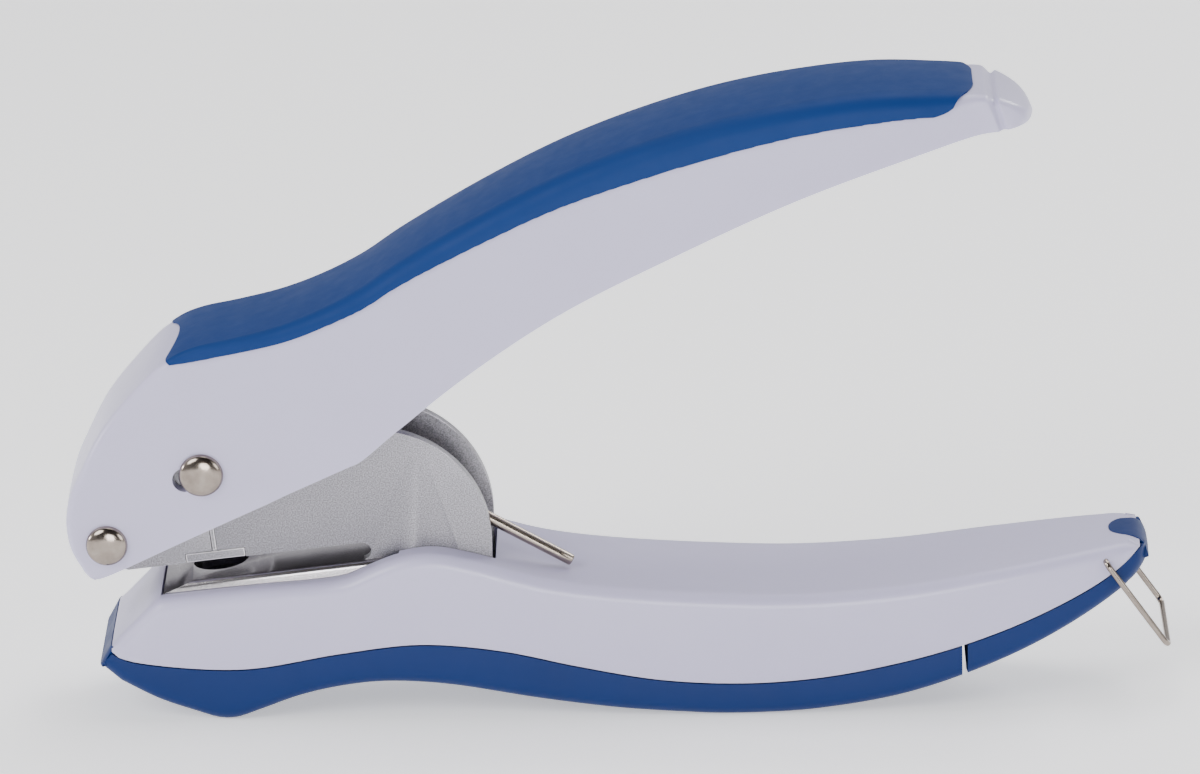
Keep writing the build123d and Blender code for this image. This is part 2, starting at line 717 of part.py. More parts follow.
def grip_core():
    """What lies under the grip: the upper handle drawn in by the grip's thickness."""
    core_back = [(x, z - grip_skin) for x, z in upper_back]
    inner = [p for p in core_back if -52 < p[0] < arm(0.99, 0)[0]]
    first = (inner[0][0] - 8, inner[0][1] - 8.0)
    edges = [
        Line(first, inner[0]),
        Spline(inner),
        Line(inner[-1], (inner[-1][0] + 6, inner[-1][1] - 3)),
        Line((inner[-1][0] + 6, inner[-1][1] - 3), (inner[-1][0] + 6, 0)),
        Line((inner[-1][0] + 6, 0), (first[0], 0)),
        Line((first[0], 0), first),
    ]
    return slab(edges, upper_width) & plan_prism(upper_plan(grip_skin), 95)


def upper_grip(body):
    """Blue grip moulded over the back of the upper handle."""
    return (body & grip_region(0)) - grip_core()


def upper_handle_shell(body):
    """Pale upper handle: hollow below, slotted for the drive rivet and grooved for the bail."""
    skin = (body & grip_region(parting_gap)) - grip_core()
    shell = body - skin - upper_cavity()
    reach_y = upper_width
    shell = shell - rod(pivot, rivet_shank / 2, -reach_y, reach_y)
    travel = hypot(slot_end[0] - drive[0], slot_end[1] - drive[1])
    over = 0.12
    ux = (slot_end[0] - drive[0]) / travel
    uz = (slot_end[1] - drive[1]) / travel
    start = (drive[0] - over * ux, drive[1] - over * uz)
    end = (slot_end[0] + over * ux, slot_end[1] + over * uz)
    shell = shell - slot(start, end, rivet_shank + 2 * slot_clearance, -reach_y, reach_y)
    return shell - tip_groove()


def tip_groove():
    """Groove round the tip that the bail drops into."""
    half_inside = tip_width / 2 - groove_depth
    top = groove_open
    down = turned((groove_closed[0], groove_closed[1] - 9), pivot, closing_angle)
    ring = slot(top, down, groove_width, -tip_width, tip_width)
    over = turned((groove_closed[0], groove_closed[1] + 3), pivot, closing_angle)
    ring = ring + slot(top, over, groove_width, -tip_width, tip_width)
    core_width = groove_width + 1
    floor = turned((groove_closed[0], groove_closed[1] - core_width / 2), pivot, closing_angle)
    return ring - slot(floor, down, core_width, -half_inside, half_inside)


def front_leg_end():
    """Tip of the spring's front leg."""
    start = polar(spring_centre, spring_radius, 90 + front_leg_slope)
    return polar(start, front_leg_length, 180 + front_leg_slope)


def return_spring():
    """Torsion spring: a coil on the spring pin, a leg in the punch and a leg on the lower handle."""
    turn = 360 * spring_turns + (front_leg_slope + back_leg_slope)
    start_angle = 90 + front_leg_slope
    x_axis = (cos(radians(start_angle)), 0, sin(radians(start_angle)))
    plane = Plane((spring_centre[0], front_leg_side, spring_centre[1]), x_dir=x_axis, z_dir=(0, -1, 0))
    coil = plane * Helix(spring_pitch, spring_pitch * turn / 360, spring_radius, lefthand=True)
    front_end = coil @ 0 + leg_along(180 + front_leg_slope, front_leg_length)
    back_end = coil @ 1 + leg_along(-back_leg_slope, back_leg_length)
    path = Wire([Line(front_end, coil @ 0).edge(), coil.edge(), Line(coil @ 1, back_end).edge()])
    section = Plane(path @ 0, z_dir=path % 0) * Circle(spring_wire / 2)
    return sweep(section, path, is_frenet=True, transition=Transition.TRANSFORMED)


def leg_along(angle, length):
    """Straight leg of the spring as a vector in the XZ plane."""
    return Vector(cos(radians(angle)), 0, sin(radians(angle))) * length


def spring_pin():
    """Pin inside the coil, its necks in blind sockets of the plates."""
    inner = frame_width / 2 - plate_thickness
    neck = inner + plate_thickness - 0.6
    return rod(spring_centre, spring_pin_diameter / 2, -inner, inner) + rod(
        spring_centre, spring_pin_neck / 2, -neck, neck
    )


def lock_bail():
    """Wire bail: two hooks in the tail's holes, two legs and a cross bar."""
    half = bail_half
    corner = polar(bail_hole, bail_leg, bail_rest_angle)
    inside = tail_width / 2 - bail_hook
    points = [
        (bail_hole[0], -inside, bail_hole[1]),
        (bail_hole[0], -half, bail_hole[1]),
        (corner[0], -half, corner[1]),
        (corner[0], half, corner[1]),
        (bail_hole[0], half, bail_hole[1]),
        (bail_hole[0], inside, bail_hole[1]),
    ]
    path = FilletPolyline(*points, radius=bail_bend)
    section = Plane(path @ 0, z_dir=path % 0) * Circle(bail_wire / 2)
    return sweep(section, path)


def build():
    """All pieces by node name."""
    lower = lower_body()
    upper = upper_body()
    shell = lower_handle_shell(lower)
    for ear in hinge_ears():
        shell = shell + (ear & lower)
    brow_face = brow_width / 2 + 0.1
    drive_face = brow_face + 0.1
    return {
        "lower_handle_shell": shell,
        "chip_tray": chip_tray(lower),
        "tail_cap": tail_cap(lower),
        "tray_hinge_pin": tray_hinge_pin(),
        "frame_plate_near": frame_plate(-1),
        "frame_plate_far": frame_plate(1),
        "frame_spacer": frame_spacer(),
        "spacer_pins": spacer_pins(),
        "frame_screws": frame_screws(),
        "die_plate": die_plate(),
        "punch_guide": punch_guide(),
        "punch": punch(),
        "drive_rivet": rivet(drive, drive_head, drive_face),
        "drive_rivet_washer": washer(drive, drive_face),
        "pivot_rivet": rivet(pivot, pivot_head, brow_face),
        "pivot_rivet_washer": washer(pivot, brow_face),
        "upper_handle_shell": upper_handle_shell(upper),
        "upper_grip": upper_grip(upper),
        "return_spring": return_spring(),
        "spring_pin": spring_pin(),
        "lock_bail": lock_bail(),
    }


def main():
    """Build every piece, centre the whole on its footprint and write one STEP file for each."""
    pieces = build()
    whole = Compound(children=[Compound([piece]) for piece in pieces.values()]).bounding_box()
    shift = -(whole.min.X + whole.max.X) / 2
    for name, piece in pieces.items():
        export_step(Pos(shift, 0, 0) * piece, f"parts/{name}.step")
    for name, point in (("pivot", pivot), ("drive", drive), ("bail", bail_hole), ("tray", knuckle_place())):
        print(name, round(point[0] + shift, 4), round(point[1], 4))
    print("shift", round(shift, 4), "z", round(whole.min.Z, 3), round(whole.max.Z, 3))


if __name__ == "__main__":
    main()
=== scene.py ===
"""Looks of the one-hole hand punch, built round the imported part.

Lengths inside the classes are in millimetres in the part's own datum.
They turn into metres when a mesh is made.
"""
import json
import logging
import math
from collections.abc import Callable, Sequence
from dataclasses import dataclass
from enum import Enum

import bmesh
import bpy
from mathutils import Matrix, Vector


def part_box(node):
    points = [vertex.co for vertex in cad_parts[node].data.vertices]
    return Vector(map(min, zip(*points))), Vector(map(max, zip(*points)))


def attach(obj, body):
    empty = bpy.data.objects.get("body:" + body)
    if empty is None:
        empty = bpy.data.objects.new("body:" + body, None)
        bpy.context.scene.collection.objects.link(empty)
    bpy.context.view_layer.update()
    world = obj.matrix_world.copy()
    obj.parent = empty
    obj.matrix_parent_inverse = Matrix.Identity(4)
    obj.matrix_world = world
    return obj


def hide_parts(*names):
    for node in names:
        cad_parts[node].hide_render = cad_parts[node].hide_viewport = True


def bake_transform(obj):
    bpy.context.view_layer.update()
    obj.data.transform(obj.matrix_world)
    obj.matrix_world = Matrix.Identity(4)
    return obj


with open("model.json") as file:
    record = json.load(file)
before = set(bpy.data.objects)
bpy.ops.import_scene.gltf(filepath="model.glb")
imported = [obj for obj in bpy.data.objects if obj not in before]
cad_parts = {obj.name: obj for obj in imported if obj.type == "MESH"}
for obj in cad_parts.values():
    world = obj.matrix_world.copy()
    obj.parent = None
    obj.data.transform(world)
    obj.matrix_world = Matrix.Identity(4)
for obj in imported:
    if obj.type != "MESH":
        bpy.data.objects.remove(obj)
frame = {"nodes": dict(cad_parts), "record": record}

LOG = logging.getLogger("punch")
MM = 0.001
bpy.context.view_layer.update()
Point = tuple[float, float]
Place = tuple[float, float, float]


# --------------------------------------------------------------------------- shared geometry helpers
def lerp(a: float, b: float, t: float) -> float:
    """Value between two others.

    Args:
        a: Value at t = 0.
        b: Value at t = 1.
        t: Share of the way.
    Returns:
        The value in between.
    """
    return a + (b - a) * t


def smooth(t: float) -> float:
    """Ease from 0 to 1 with level ends.

    Args:
        t: Share of the way, clamped to 0 and 1.
    Returns:
        The eased share.
    """
    t = min(1.0, max(0.0, t))
    return t * t * (3 - 2 * t)


def bell(x: float, centre: float, half: float) -> float:
    """Smooth bump of height 1.

    Args:
        x: Where it is read.
        centre: Middle of the bump.
        half: Half of its width.
    Returns:
        Height of the bump, 0 outside it.
    """
    return smooth(1 - abs(x - centre) / half)


class Curve:
    """Smooth planar curve through given points."""

    def __init__(self, points: Sequence[Point], steps: int = 12) -> None:
        """Sample the curve finely.

        Args:
            points: Points the curve passes through.
            steps: Samples between two points.
        """
        ends = [self._beyond(points[1], points[0]), *points, self._beyond(points[-2], points[-1])]
        self.samples: list[Point] = []
        for k in range(1, len(ends) - 2):
            for i in range(steps):
                self.samples.append(self._blend(ends[k - 1], ends[k], ends[k + 1], ends[k + 2], i / steps))
        self.samples.append(points[-1])
        self.lengths = [0.0]
        for a, b in zip(self.samples, self.samples[1:]):
            self.lengths.append(self.lengths[-1] + math.dist(a, b))

    @staticmethod
    def _beyond(inner: Point, end: Point) -> Point:
        """Point past an end, as far out as the inner one is in.

        Args:
            inner: Point next to the end.
            end: The end.
        Returns:
            The mirrored point.
        """
        return (2 * end[0] - inner[0], 2 * end[1] - inner[1])

    @staticmethod
    def _blend(p0: Point, p1: Point, p2: Point, p3: Point, t: float) -> Point:
        """Point between the middle two of four.

        Args:
            p0: Point before.
            p1: Start.
            p2: End.
            p3: Point after.
            t: Share of the way from start to end.
        Returns:
            The point on the smooth curve.
        """
        out = []
        gaps = [max(1e-6, math.dist(a, b)) ** 0.5 for a, b in ((p0, p1), (p1, p2), (p2, p3))]
        for k in (0, 1):
            m1 = (p1[k] - p0[k]) / gaps[0] - (p2[k] - p0[k]) / (gaps[0] + gaps[1]) + (p2[k] - p1[k]) / gaps[1]
            m2 = (p2[k] - p1[k]) / gaps[1] - (p3[k] - p1[k]) / (gaps[1] + gaps[2]) + (p3[k] - p2[k]) / gaps[2]
            m1 *= gaps[1]
            m2 *= gaps[1]
            h = 2 * (p1[k] - p2[k]) + m1 + m2
            g = -3 * (p1[k] - p2[k]) - 2 * m1 - m2
            out.append(p1[k] + t * (m1 + t * (g + t * h)))
        return (out[0], out[1])

    def at(self, share: float) -> Point:
        """Point at a share of the curve's length.

        Args:
            share: 0 at the first point, 1 at the last.
        Returns:
            The point.
        """
        goal = min(1.0, max(0.0, share)) * self.lengths[-1]
        low, high = 0, len(self.lengths) - 1
        while high - low > 1:
            middle = (low + high) // 2
            if self.lengths[middle] <= goal:
                low = middle
            else:
                high = middle
        span = self.lengths[high] - self.lengths[low]
        t = 0.0 if span < 1e-9 else (goal - self.lengths[low]) / span
        a, b = self.samples[low], self.samples[high]
        return (lerp(a[0], b[0], t), lerp(a[1], b[1], t))

    def height(self, x: float) -> float:
        """Second coordinate where the first one is x, held level past the ends.

        Args:
            x: First coordinate.
        Returns:
            The second coordinate.
        """
        if x <= self.samples[0][0]:
            return self.samples[0][1]
        for a, b in zip(self.samples, self.samples[1:]):
            if a[0] <= x <= b[0] and b[0] > a[0]:
                return lerp(a[1], b[1], (x - a[0]) / (b[0] - a[0]))
        return self.samples[-1][1]


def face_outward(bm: bmesh.types.BMesh, toward: Vector | None) -> None:
    """Turn an open sheet's normals outward.

    Args:
        bm: The mesh, its normals already consistent.
        toward: Way the outside faces, or None for away from the sheet's own middle.
    """
    middle = sum((v.co for v in bm.verts), Vector()) / len(bm.verts)
    total = 0.0
    for face in bm.faces:
        way = toward if toward is not None else face.calc_center_median() - middle
        total += face.calc_area() * face.normal.dot(way)
    if total < 0:
        bmesh.ops.reverse_faces(bm, faces=bm.faces)


def finish_mesh(
    bm: bmesh.types.BMesh,
    name: str,
    materials: Sequence[bpy.types.Material],
    toward: Vector | None = None,
) -> bpy.types.Object:
    """Merge doubles, turn normals outward, shade smooth and make the object.

    Args:
        bm: Finished mesh in metres; freed here.
        name: Name of the piece.
        materials: Its materials, in slot order.
        toward: Way an open sheet's outside faces, or None for away from its middle.
    Returns:
        The object, linked to the scene.
    """
    bmesh.ops.remove_doubles(bm, verts=bm.verts, dist=2e-6)
    bmesh.ops.dissolve_degenerate(bm, edges=bm.edges, dist=1e-6)
    bmesh.ops.recalc_face_normals(bm, faces=bm.faces)
    face_outward(bm, toward)
    mesh = bpy.data.meshes.new(name)
    bm.to_mesh(mesh)
    bm.free()
    mesh.polygons.foreach_set("use_smooth", [True] * len(mesh.polygons))
    for material in materials:
        mesh.materials.append(material)
    piece = bpy.data.objects.new(name, mesh)
    bpy.context.scene.collection.objects.link(piece)
    return piece


def sheet_of(
    name: str,
    rows: int,
    columns: int,
    place: Callable[[int, int], Place],
    materials: Sequence[bpy.types.Material],
    toward: Vector | None = None,
) -> bpy.types.Object:
    """Surface made from a grid whose points are put in place by row and column.

    Args:
        name: Name of the piece.
        rows: Faces along the first direction.
        columns: Faces along the second direction.
        place: Gives the place in millimetres, in the part's datum, of a row and column.
        materials: Its materials.
        toward: Way an open sheet's outside faces.
    Returns:
        The object.
    """
    bm = bmesh.new()
    bmesh.ops.create_grid(bm, x_segments=rows, y_segments=columns, size=0.5)
    for vertex in bm.verts:
        i = round((vertex.co.x + 0.5) * rows)
        j = round((vertex.co.y + 0.5) * columns)
        x, y, z = place(i, j)
        vertex.co = ((x + DATUM) * MM, y * MM, z * MM)
    return finish_mesh(bm, name, materials, toward)


def thicken(
    piece: bpy.types.Object, thickness: float, round_over: float, segments: int = 3
) -> bpy.types.Object:
    """Give a surface a wall towards its inside and round the wall's edges.

    Args:
        piece: The surface, normals outward.
        thickness: Wall in millimetres.
        round_over: Radius at the edges in millimetres.
        segments: Steps of each rounding.
    Returns:
        The same object.
    """
    wall = piece.modifiers.new("wall", "SOLIDIFY")
    wall.thickness = thickness * MM
    wall.offset = -1
    wall.use_rim = True
    soften(piece, round_over, segments)
    return piece


def soften(
    piece: bpy.types.Object, width: float, segments: int = 3, rim: int = -1, angle: float = 40
) -> None:
    """Round the sharp edges of a piece.

    Args:
        piece: The piece.
        width: Width of the rounding in millimetres.
        segments: Steps of each rounding.
        rim: Material slot of the rounded edges, -1 for that of their faces.
        angle: Least angle of an edge that is rounded, in degrees.
    """
    edge = piece.modifiers.new("edge", "BEVEL")
    edge.width = width * MM
    edge.segments = segments
    edge.limit_method = "ANGLE"
    edge.angle_limit = math.radians(angle)
    edge.profile = 0.5
    edge.material = rim
    edge.use_clamp_overlap = True
    edge.harden_normals = True


def turn_up(
    name: str,
    profile: Sequence[Point],
    centre: Point,
    materials: Sequence[bpy.types.Material],
    sides: int = 64,
) -> bpy.types.Object:
    """Round piece about an axis along Y.

    Args:
        name: Name of the piece.
        profile: Points as (radius, y) in millimetres.
        centre: Axis as (x, z) in millimetres.
        materials: Its materials.
        sides: Steps round the axis.
    Returns:
        The object.
    """

    def place(i: int, j: int) -> Place:
        """Place of a profile point turned round the axis."""
        radius, y = profile[i]
        angle = 2 * math.pi * j / sides
        return (centre[0] + radius * math.cos(angle), y, centre[1] + radius * math.sin(angle))

    return sheet_of(name, len(profile) - 1, sides, place, materials)


def prism(
    name: str, outline: Sequence[Place], way: Vector, materials: Sequence[bpy.types.Material], width: float
) -> bpy.types.Object:
    """Solid with a flat outline, its edges rounded.

    Args:
        name: Name of the piece.
        outline: Corners of the outline in millimetres.
        way: Direction and length of the solid.
        materials: Its materials.
        width: Width of the rounding in millimetres.
    Returns:
        The object.
    """
    bm = bmesh.new()
    face = bm.faces.new([bm.verts.new(((x + DATUM) * MM, y * MM, z * MM)) for x, y, z in outline])
    made = bmesh.ops.extrude_face_region(bm, geom=[face])["geom"]
    moved = [item for item in made if isinstance(item, bmesh.types.BMVert)]
    bmesh.ops.translate(bm, vec=way * MM, verts=moved)
    bmesh.ops.holes_fill(bm, edges=bm.edges, sides=0)
    piece = finish_mesh(bm, name, materials)
    soften(piece, width, 2)
    return piece


def wire(
    name: str, path: Sequence[Vector], radius: float, materials: Sequence[bpy.types.Material], sides: int = 20
) -> bpy.types.Object:
    """Round wire along a path, with slightly rounded ends.

    Args:
        name: Name of the piece.
        path: Points of the wire's middle in millimetres.
        radius: Radius of the wire.
        materials: Its materials.
        sides: Steps round the wire.
    Returns:
        The object.
    """
    tangents = []
    for k in range(len(path)):
        a = path[max(0, k - 1)]
        b = path[min(len(path) - 1, k + 1)]
        tangents.append((b - a).normalized())
    side = Vector((0.13, 1, 0.31)).cross(tangents[0]).normalized()
    rings: list[tuple[Vector, Vector, Vector, float]] = []
    for k, tangent in enumerate(tangents):
        side = (side - tangent * side.dot(tangent)).normalized()
        rings.append((path[k], side.copy(), tangent.cross(side).normalized(), radius))
    first, last = rings[0], rings[-1]
    ease = radius * 0.25
    front = [
        (first[0], first[1], first[2], 0.0),
        (first[0], first[1], first[2], radius - ease),
        (first[0] + tangents[0] * ease * 0.35, first[1], first[2], radius - ease * 0.3),
        (first[0] + tangents[0] * ease, first[1], first[2], radius),
    ]
    back = [
        (last[0] - tangents[-1] * ease, last[1], last[2], radius),
        (last[0] - tangents[-1] * ease * 0.35, last[1], last[2], radius - ease * 0.3),
        (last[0], last[1], last[2], radius - ease),
        (last[0], last[1], last[2], 0.0),
    ]
    rings = front + rings[1:-1] + back

    def place(i: int, j: int) -> Place:
        """Place of a point on a ring of the wire."""
        middle, u, v, r = rings[i]
        angle = 2 * math.pi * j / sides
        point = middle + u * (r * math.cos(angle)) + v * (r * math.sin(angle))
        return (point.x, point.y, point.z)

    return sheet_of(name, len(rings) - 1, sides, place, materials)


def bent_path(corners: Sequence[Vector], radius: float, steps: int = 8) -> list[Vector]:
    """Path through corners with a bend at each.

    Args:
        corners: Corner points.
        radius: Radius of the bends.
        steps: Points in each bend.
    Returns:
        The path's points.
    """
    out = [corners[0]]
    for before, here, after in zip(corners, corners[1:], corners[2:]):
        a = (before - here).normalized()
        b = (after - here).normalized()
        half = a.angle(b) / 2
        back = radius / math.tan(half)
        middle = here + (a + b).normalized() * (radius / math.sin(half))
        start = here + a * back - middle
        end = here + b * back - middle
        for i in range(steps + 1):
            out.append(middle + start.slerp(end, i / steps))
    out.append(corners[-1])
    return out


def from_node(
    name: str,
    node: str,
    materials: Sequence[bpy.types.Material],
    width: float,
    segments: int = 3,
    rim: int = -1,
) -> bpy.types.Object:
    """Copy of a CAD piece with its edges rounded, standing for that piece.

    Args:
        name: Name of the copy.
        node: The CAD node.
        materials: Its materials.
        width: Width of the rounding in millimetres.
        segments: Steps of the rounding.
        rim: Material slot of the rounded edges.
    Returns:
        The object, riding on the node's body.
    """
    source = frame["nodes"][node]
    bm = bmesh.new()
    bm.from_mesh(source.data)
    bmesh.ops.remove_doubles(bm, verts=bm.verts, dist=2e-6)
    bmesh.ops.dissolve_limit(bm, angle_limit=math.radians(0.6), verts=bm.verts, edges=bm.edges)
    for face in bm.faces:
        face.material_index = 0
    piece = finish_mesh(bm, name, materials)
    soften(piece, width, segments, rim, 30)
    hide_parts(node)
    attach(piece, body_of(node))
    return piece


def body_of(node: str) -> str:
    """Body that a CAD node belongs to.

    Args:
        node: The node's name.
    Returns:
        The body's name.
    """
    for body, members in frame["record"]["behaviour"]["bodies"].items():
        if node in members:
            return body
    raise KeyError(node)


def middle_of(node: str) -> Vector:
    """Middle of a CAD node's box, in millimetres of the row frame.

    Args:
        node: The node's name.
    Returns:
        The middle.
    """
    low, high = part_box(node)
    return (low + high) / (2 * MM)


PIVOT: Point = (-58.6, 21.7)
DRIVE: Point = (-47.4472, 30.1716)
DATUM = middle_of("pivot_rivet").x - PIVOT[0]


# --------------------------------------------------------------------------- finishes
@dataclass(frozen=True)
class Finish:
    """A procedural surface finish on Object coordinates.

    Sizes of the grain are in millimetres.
    """

    name: str
    color: tuple[float, float, float]
    roughness: float
    metallic: float = 0.0
    coat: float = 0.0
    tint: tuple[float, float, float] | None = None
    tint_size: float = 6.0
    grain: float = 0.0
    grain_size: float = 0.3
    speckle: float = 0.0
    wear: float = 0.0
    subsurface: float = 0.0
    specular: float = 0.5

    def make(self) -> bpy.types.Material:
        """Build the material's nodes.

        Returns:
            The material.
        """
        material = bpy.data.materials.new(self.name)
        material.use_nodes = True
        tree = material.node_tree
        shader = tree.nodes["Principled BSDF"]
        shader.inputs["Roughness"].default_value = self.roughness
        shader.inputs["Metallic"].default_value = self.metallic
        shader.inputs["Coat Weight"].default_value = self.coat
        shader.inputs["Coat Roughness"].default_value = 0.18
        shader.inputs["Base Color"].default_value = (*self.color, 1)
        shader.inputs["Specular IOR Level"].default_value = self.specular
        if self.subsurface:
            shader.inputs["Subsurface Weight"].default_value = self.subsurface
            shader.inputs["Subsurface Radius"].default_value = (0.9, 0.85, 1.0)
            shader.inputs["Subsurface Scale"].default_value = 0.0012
        coords = tree.nodes.new("ShaderNodeTexCoord").outputs["Object"]
        self._colour(tree, shader, coords)
        self._roughness(tree, shader, coords)
        if self.grain:
            self._bump(tree, shader, coords)
        return material

    def _noise(
        self, tree: bpy.types.NodeTree, coords: bpy.types.NodeSocket, size: float, detail: float
    ) -> bpy.types.NodeSocket:
        """Noise of a given grain.

        Args:
            tree: The material's nodes.
            coords: Object coordinates.
            size: Size of the grain in millimetres.
            detail: Octaves.
        Returns:
            The noise's value.
        """
        node = tree.nodes.new("ShaderNodeTexNoise")
        node.inputs["Scale"].default_value = 1 / (size * MM)
        node.inputs["Detail"].default_value = detail
        tree.links.new(coords, node.inputs["Vector"])
        return node.outputs["Fac"]

    def _colour(
        self, tree: bpy.types.NodeTree, shader: bpy.types.Node, coords: bpy.types.NodeSocket
    ) -> None:
        """Blend the colour with its tint by a soft noise and add the speckle.

        Args:
            tree: The material's nodes.
            shader: The surface shader.
            coords: Object coordinates.
        """
        tint = self.tint or tuple(c * 0.94 for c in self.color)
        mix = tree.nodes.new("ShaderNodeMix")
        mix.data_type = "RGBA"
        mix.inputs["A"].default_value = (*self.color, 1)
        mix.inputs["B"].default_value = (*tint, 1)
        tree.links.new(self._noise(tree, coords, self.tint_size, 3), mix.inputs["Factor"])
        out = mix.outputs["Result"]
        if self.speckle:
            ramp = tree.nodes.new("ShaderNodeValToRGB")
            ramp.color_ramp.elements[0].position = 0.36
            ramp.color_ramp.elements[0].color = (1 - self.speckle,) * 3 + (1,)
            ramp.color_ramp.elements[1].position = 0.66
            ramp.color_ramp.elements[1].color = (1 + self.speckle * 0.35,) * 3 + (1,)
            tree.links.new(self._noise(tree, coords, self.grain_size, 2), ramp.inputs["Fac"])
            multiply = tree.nodes.new("ShaderNodeMix")
            multiply.data_type = "RGBA"
            multiply.blend_type = "MULTIPLY"
            multiply.inputs["Factor"].default_value = 1
            tree.links.new(out, multiply.inputs["A"])
            tree.links.new(ramp.outputs["Color"], multiply.inputs["B"])
            out = multiply.outputs["Result"]
        tree.links.new(out, shader.inputs["Base Color"])

    def _roughness(
        self, tree: bpy.types.NodeTree, shader: bpy.types.Node, coords: bpy.types.NodeSocket
    ) -> None:
        """Vary the roughness a little, with faint handling marks where there is wear.

        Args:
            tree: The material's nodes.
            shader: The surface shader.
            coords: Object coordinates.
        """
        spread = tree.nodes.new("ShaderNodeMapRange")
        spread.inputs["To Min"].default_value = self.roughness * (0.9 - self.wear * 0.2)
        spread.inputs["To Max"].default_value = self.roughness * (1.1 + self.wear)
        tree.links.new(self._noise(tree, coords, 2.2, 5), spread.inputs["Value"])
        tree.links.new(spread.outputs["Result"], shader.inputs["Roughness"])

    def _bump(
        self, tree: bpy.types.NodeTree, shader: bpy.types.Node, coords: bpy.types.NodeSocket
    ) -> None:
        """Raise a fine grain.

        Args:
            tree: The material's nodes.
            shader: The surface shader.
            coords: Object coordinates.
        """
        bump = tree.nodes.new("ShaderNodeBump")
        bump.inputs["Strength"].default_value = 1.0
        bump.inputs["Distance"].default_value = self.grain * MM
        tree.links.new(self._noise(tree, coords, self.grain_size, 2), bump.inputs["Height"])
        tree.links.new(bump.outputs["Normal"], shader.inputs["Normal"])


class Slot(Enum):
    """Material slots of the record with their finishes."""

    PALE = Finish("pale_plastic", (0.51, 0.485, 0.67), 0.33, coat=0.3, tint=(0.49, 0.465, 0.65),
                  grain=0.003, grain_size=0.5, wear=0.25, subsurface=0.2)
    BLUE = Finish("blue_plastic", (0.0008, 0.019, 0.112), 0.42, tint=(0.0007, 0.016, 0.097),
                  grain=0.003, grain_size=0.5, wear=0.3, specular=0.22)
    GRIP = Finish("blue_grip", (0.0010, 0.027, 0.140), 0.5, tint=(0.0009, 0.024, 0.125),
                  grain=0.008, grain_size=0.28, wear=0.2, specular=0.2)
    CAST = Finish("cast_silver", (0.31, 0.30, 0.33), 0.4, metallic=0.8, tint=(0.27, 0.265, 0.29),
                  grain=0.024, grain_size=0.15, speckle=0.42)
    # Lighter copy of the cast silver for rounded edges: a painted highlight along the rims.
    RIM_HIGHLIGHT = Finish("cast_silver_rim_painted_highlight", (0.78, 0.76, 0.79), 0.3, metallic=0.9, grain=0.008, grain_size=0.2)
    DIE = Finish("die_top", (0.52, 0.50, 0.52), 0.2, metallic=0.95, tint=(0.42, 0.40, 0.42), tint_size=2.5,
                 grain=0.01, grain_size=0.22, speckle=0.12)
    # Bright steel: colour set low and warm, blended with a much darker tint by a 1.3 mm noise; the dark
    # patches are painted reflections on the polished domes.
    BRIGHT = Finish("bright_steel", (0.42, 0.37, 0.32), 0.16, metallic=1.0, tint=(0.20, 0.16, 0.135),
                    tint_size=1.3, grain=0.006, grain_size=0.35, wear=0.3)
    TOOL = Finish("tool_steel", (0.42, 0.42, 0.43), 0.2, metallic=1.0, grain=0.006, grain_size=0.2)
    SPRING = Finish("spring_steel", (0.36, 0.31, 0.26), 0.22, metallic=1.0, grain=0.004, grain_size=0.2)
    ZINC = Finish("zinc", (0.50, 0.50, 0.48), 0.3, metallic=1.0, grain=0.008, grain_size=0.25)


FINISHES: dict[Slot, bpy.types.Material] = {slot: slot.value.make() for slot in Slot}


def dress(piece: bpy.types.Object, slot: Slot, body: str, *nodes: str) -> bpy.types.Object:
    """Hide the CAD nodes that a piece stands for and hang the piece on its body.

    Args:
        piece: The piece.
        slot: Its finish; not used.
        body: The body it rides on.
        nodes: CAD nodes it stands for.
    Returns:
        The piece.
    """
    if nodes:
        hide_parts(*nodes)
    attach(piece, body)
    return piece


# --------------------------------------------------------------------------- lofted handles
@dataclass
class Station:
    """One cross-section of a handle: where it meets the outer line and the inner line."""

    outer: Point
    inner: Point


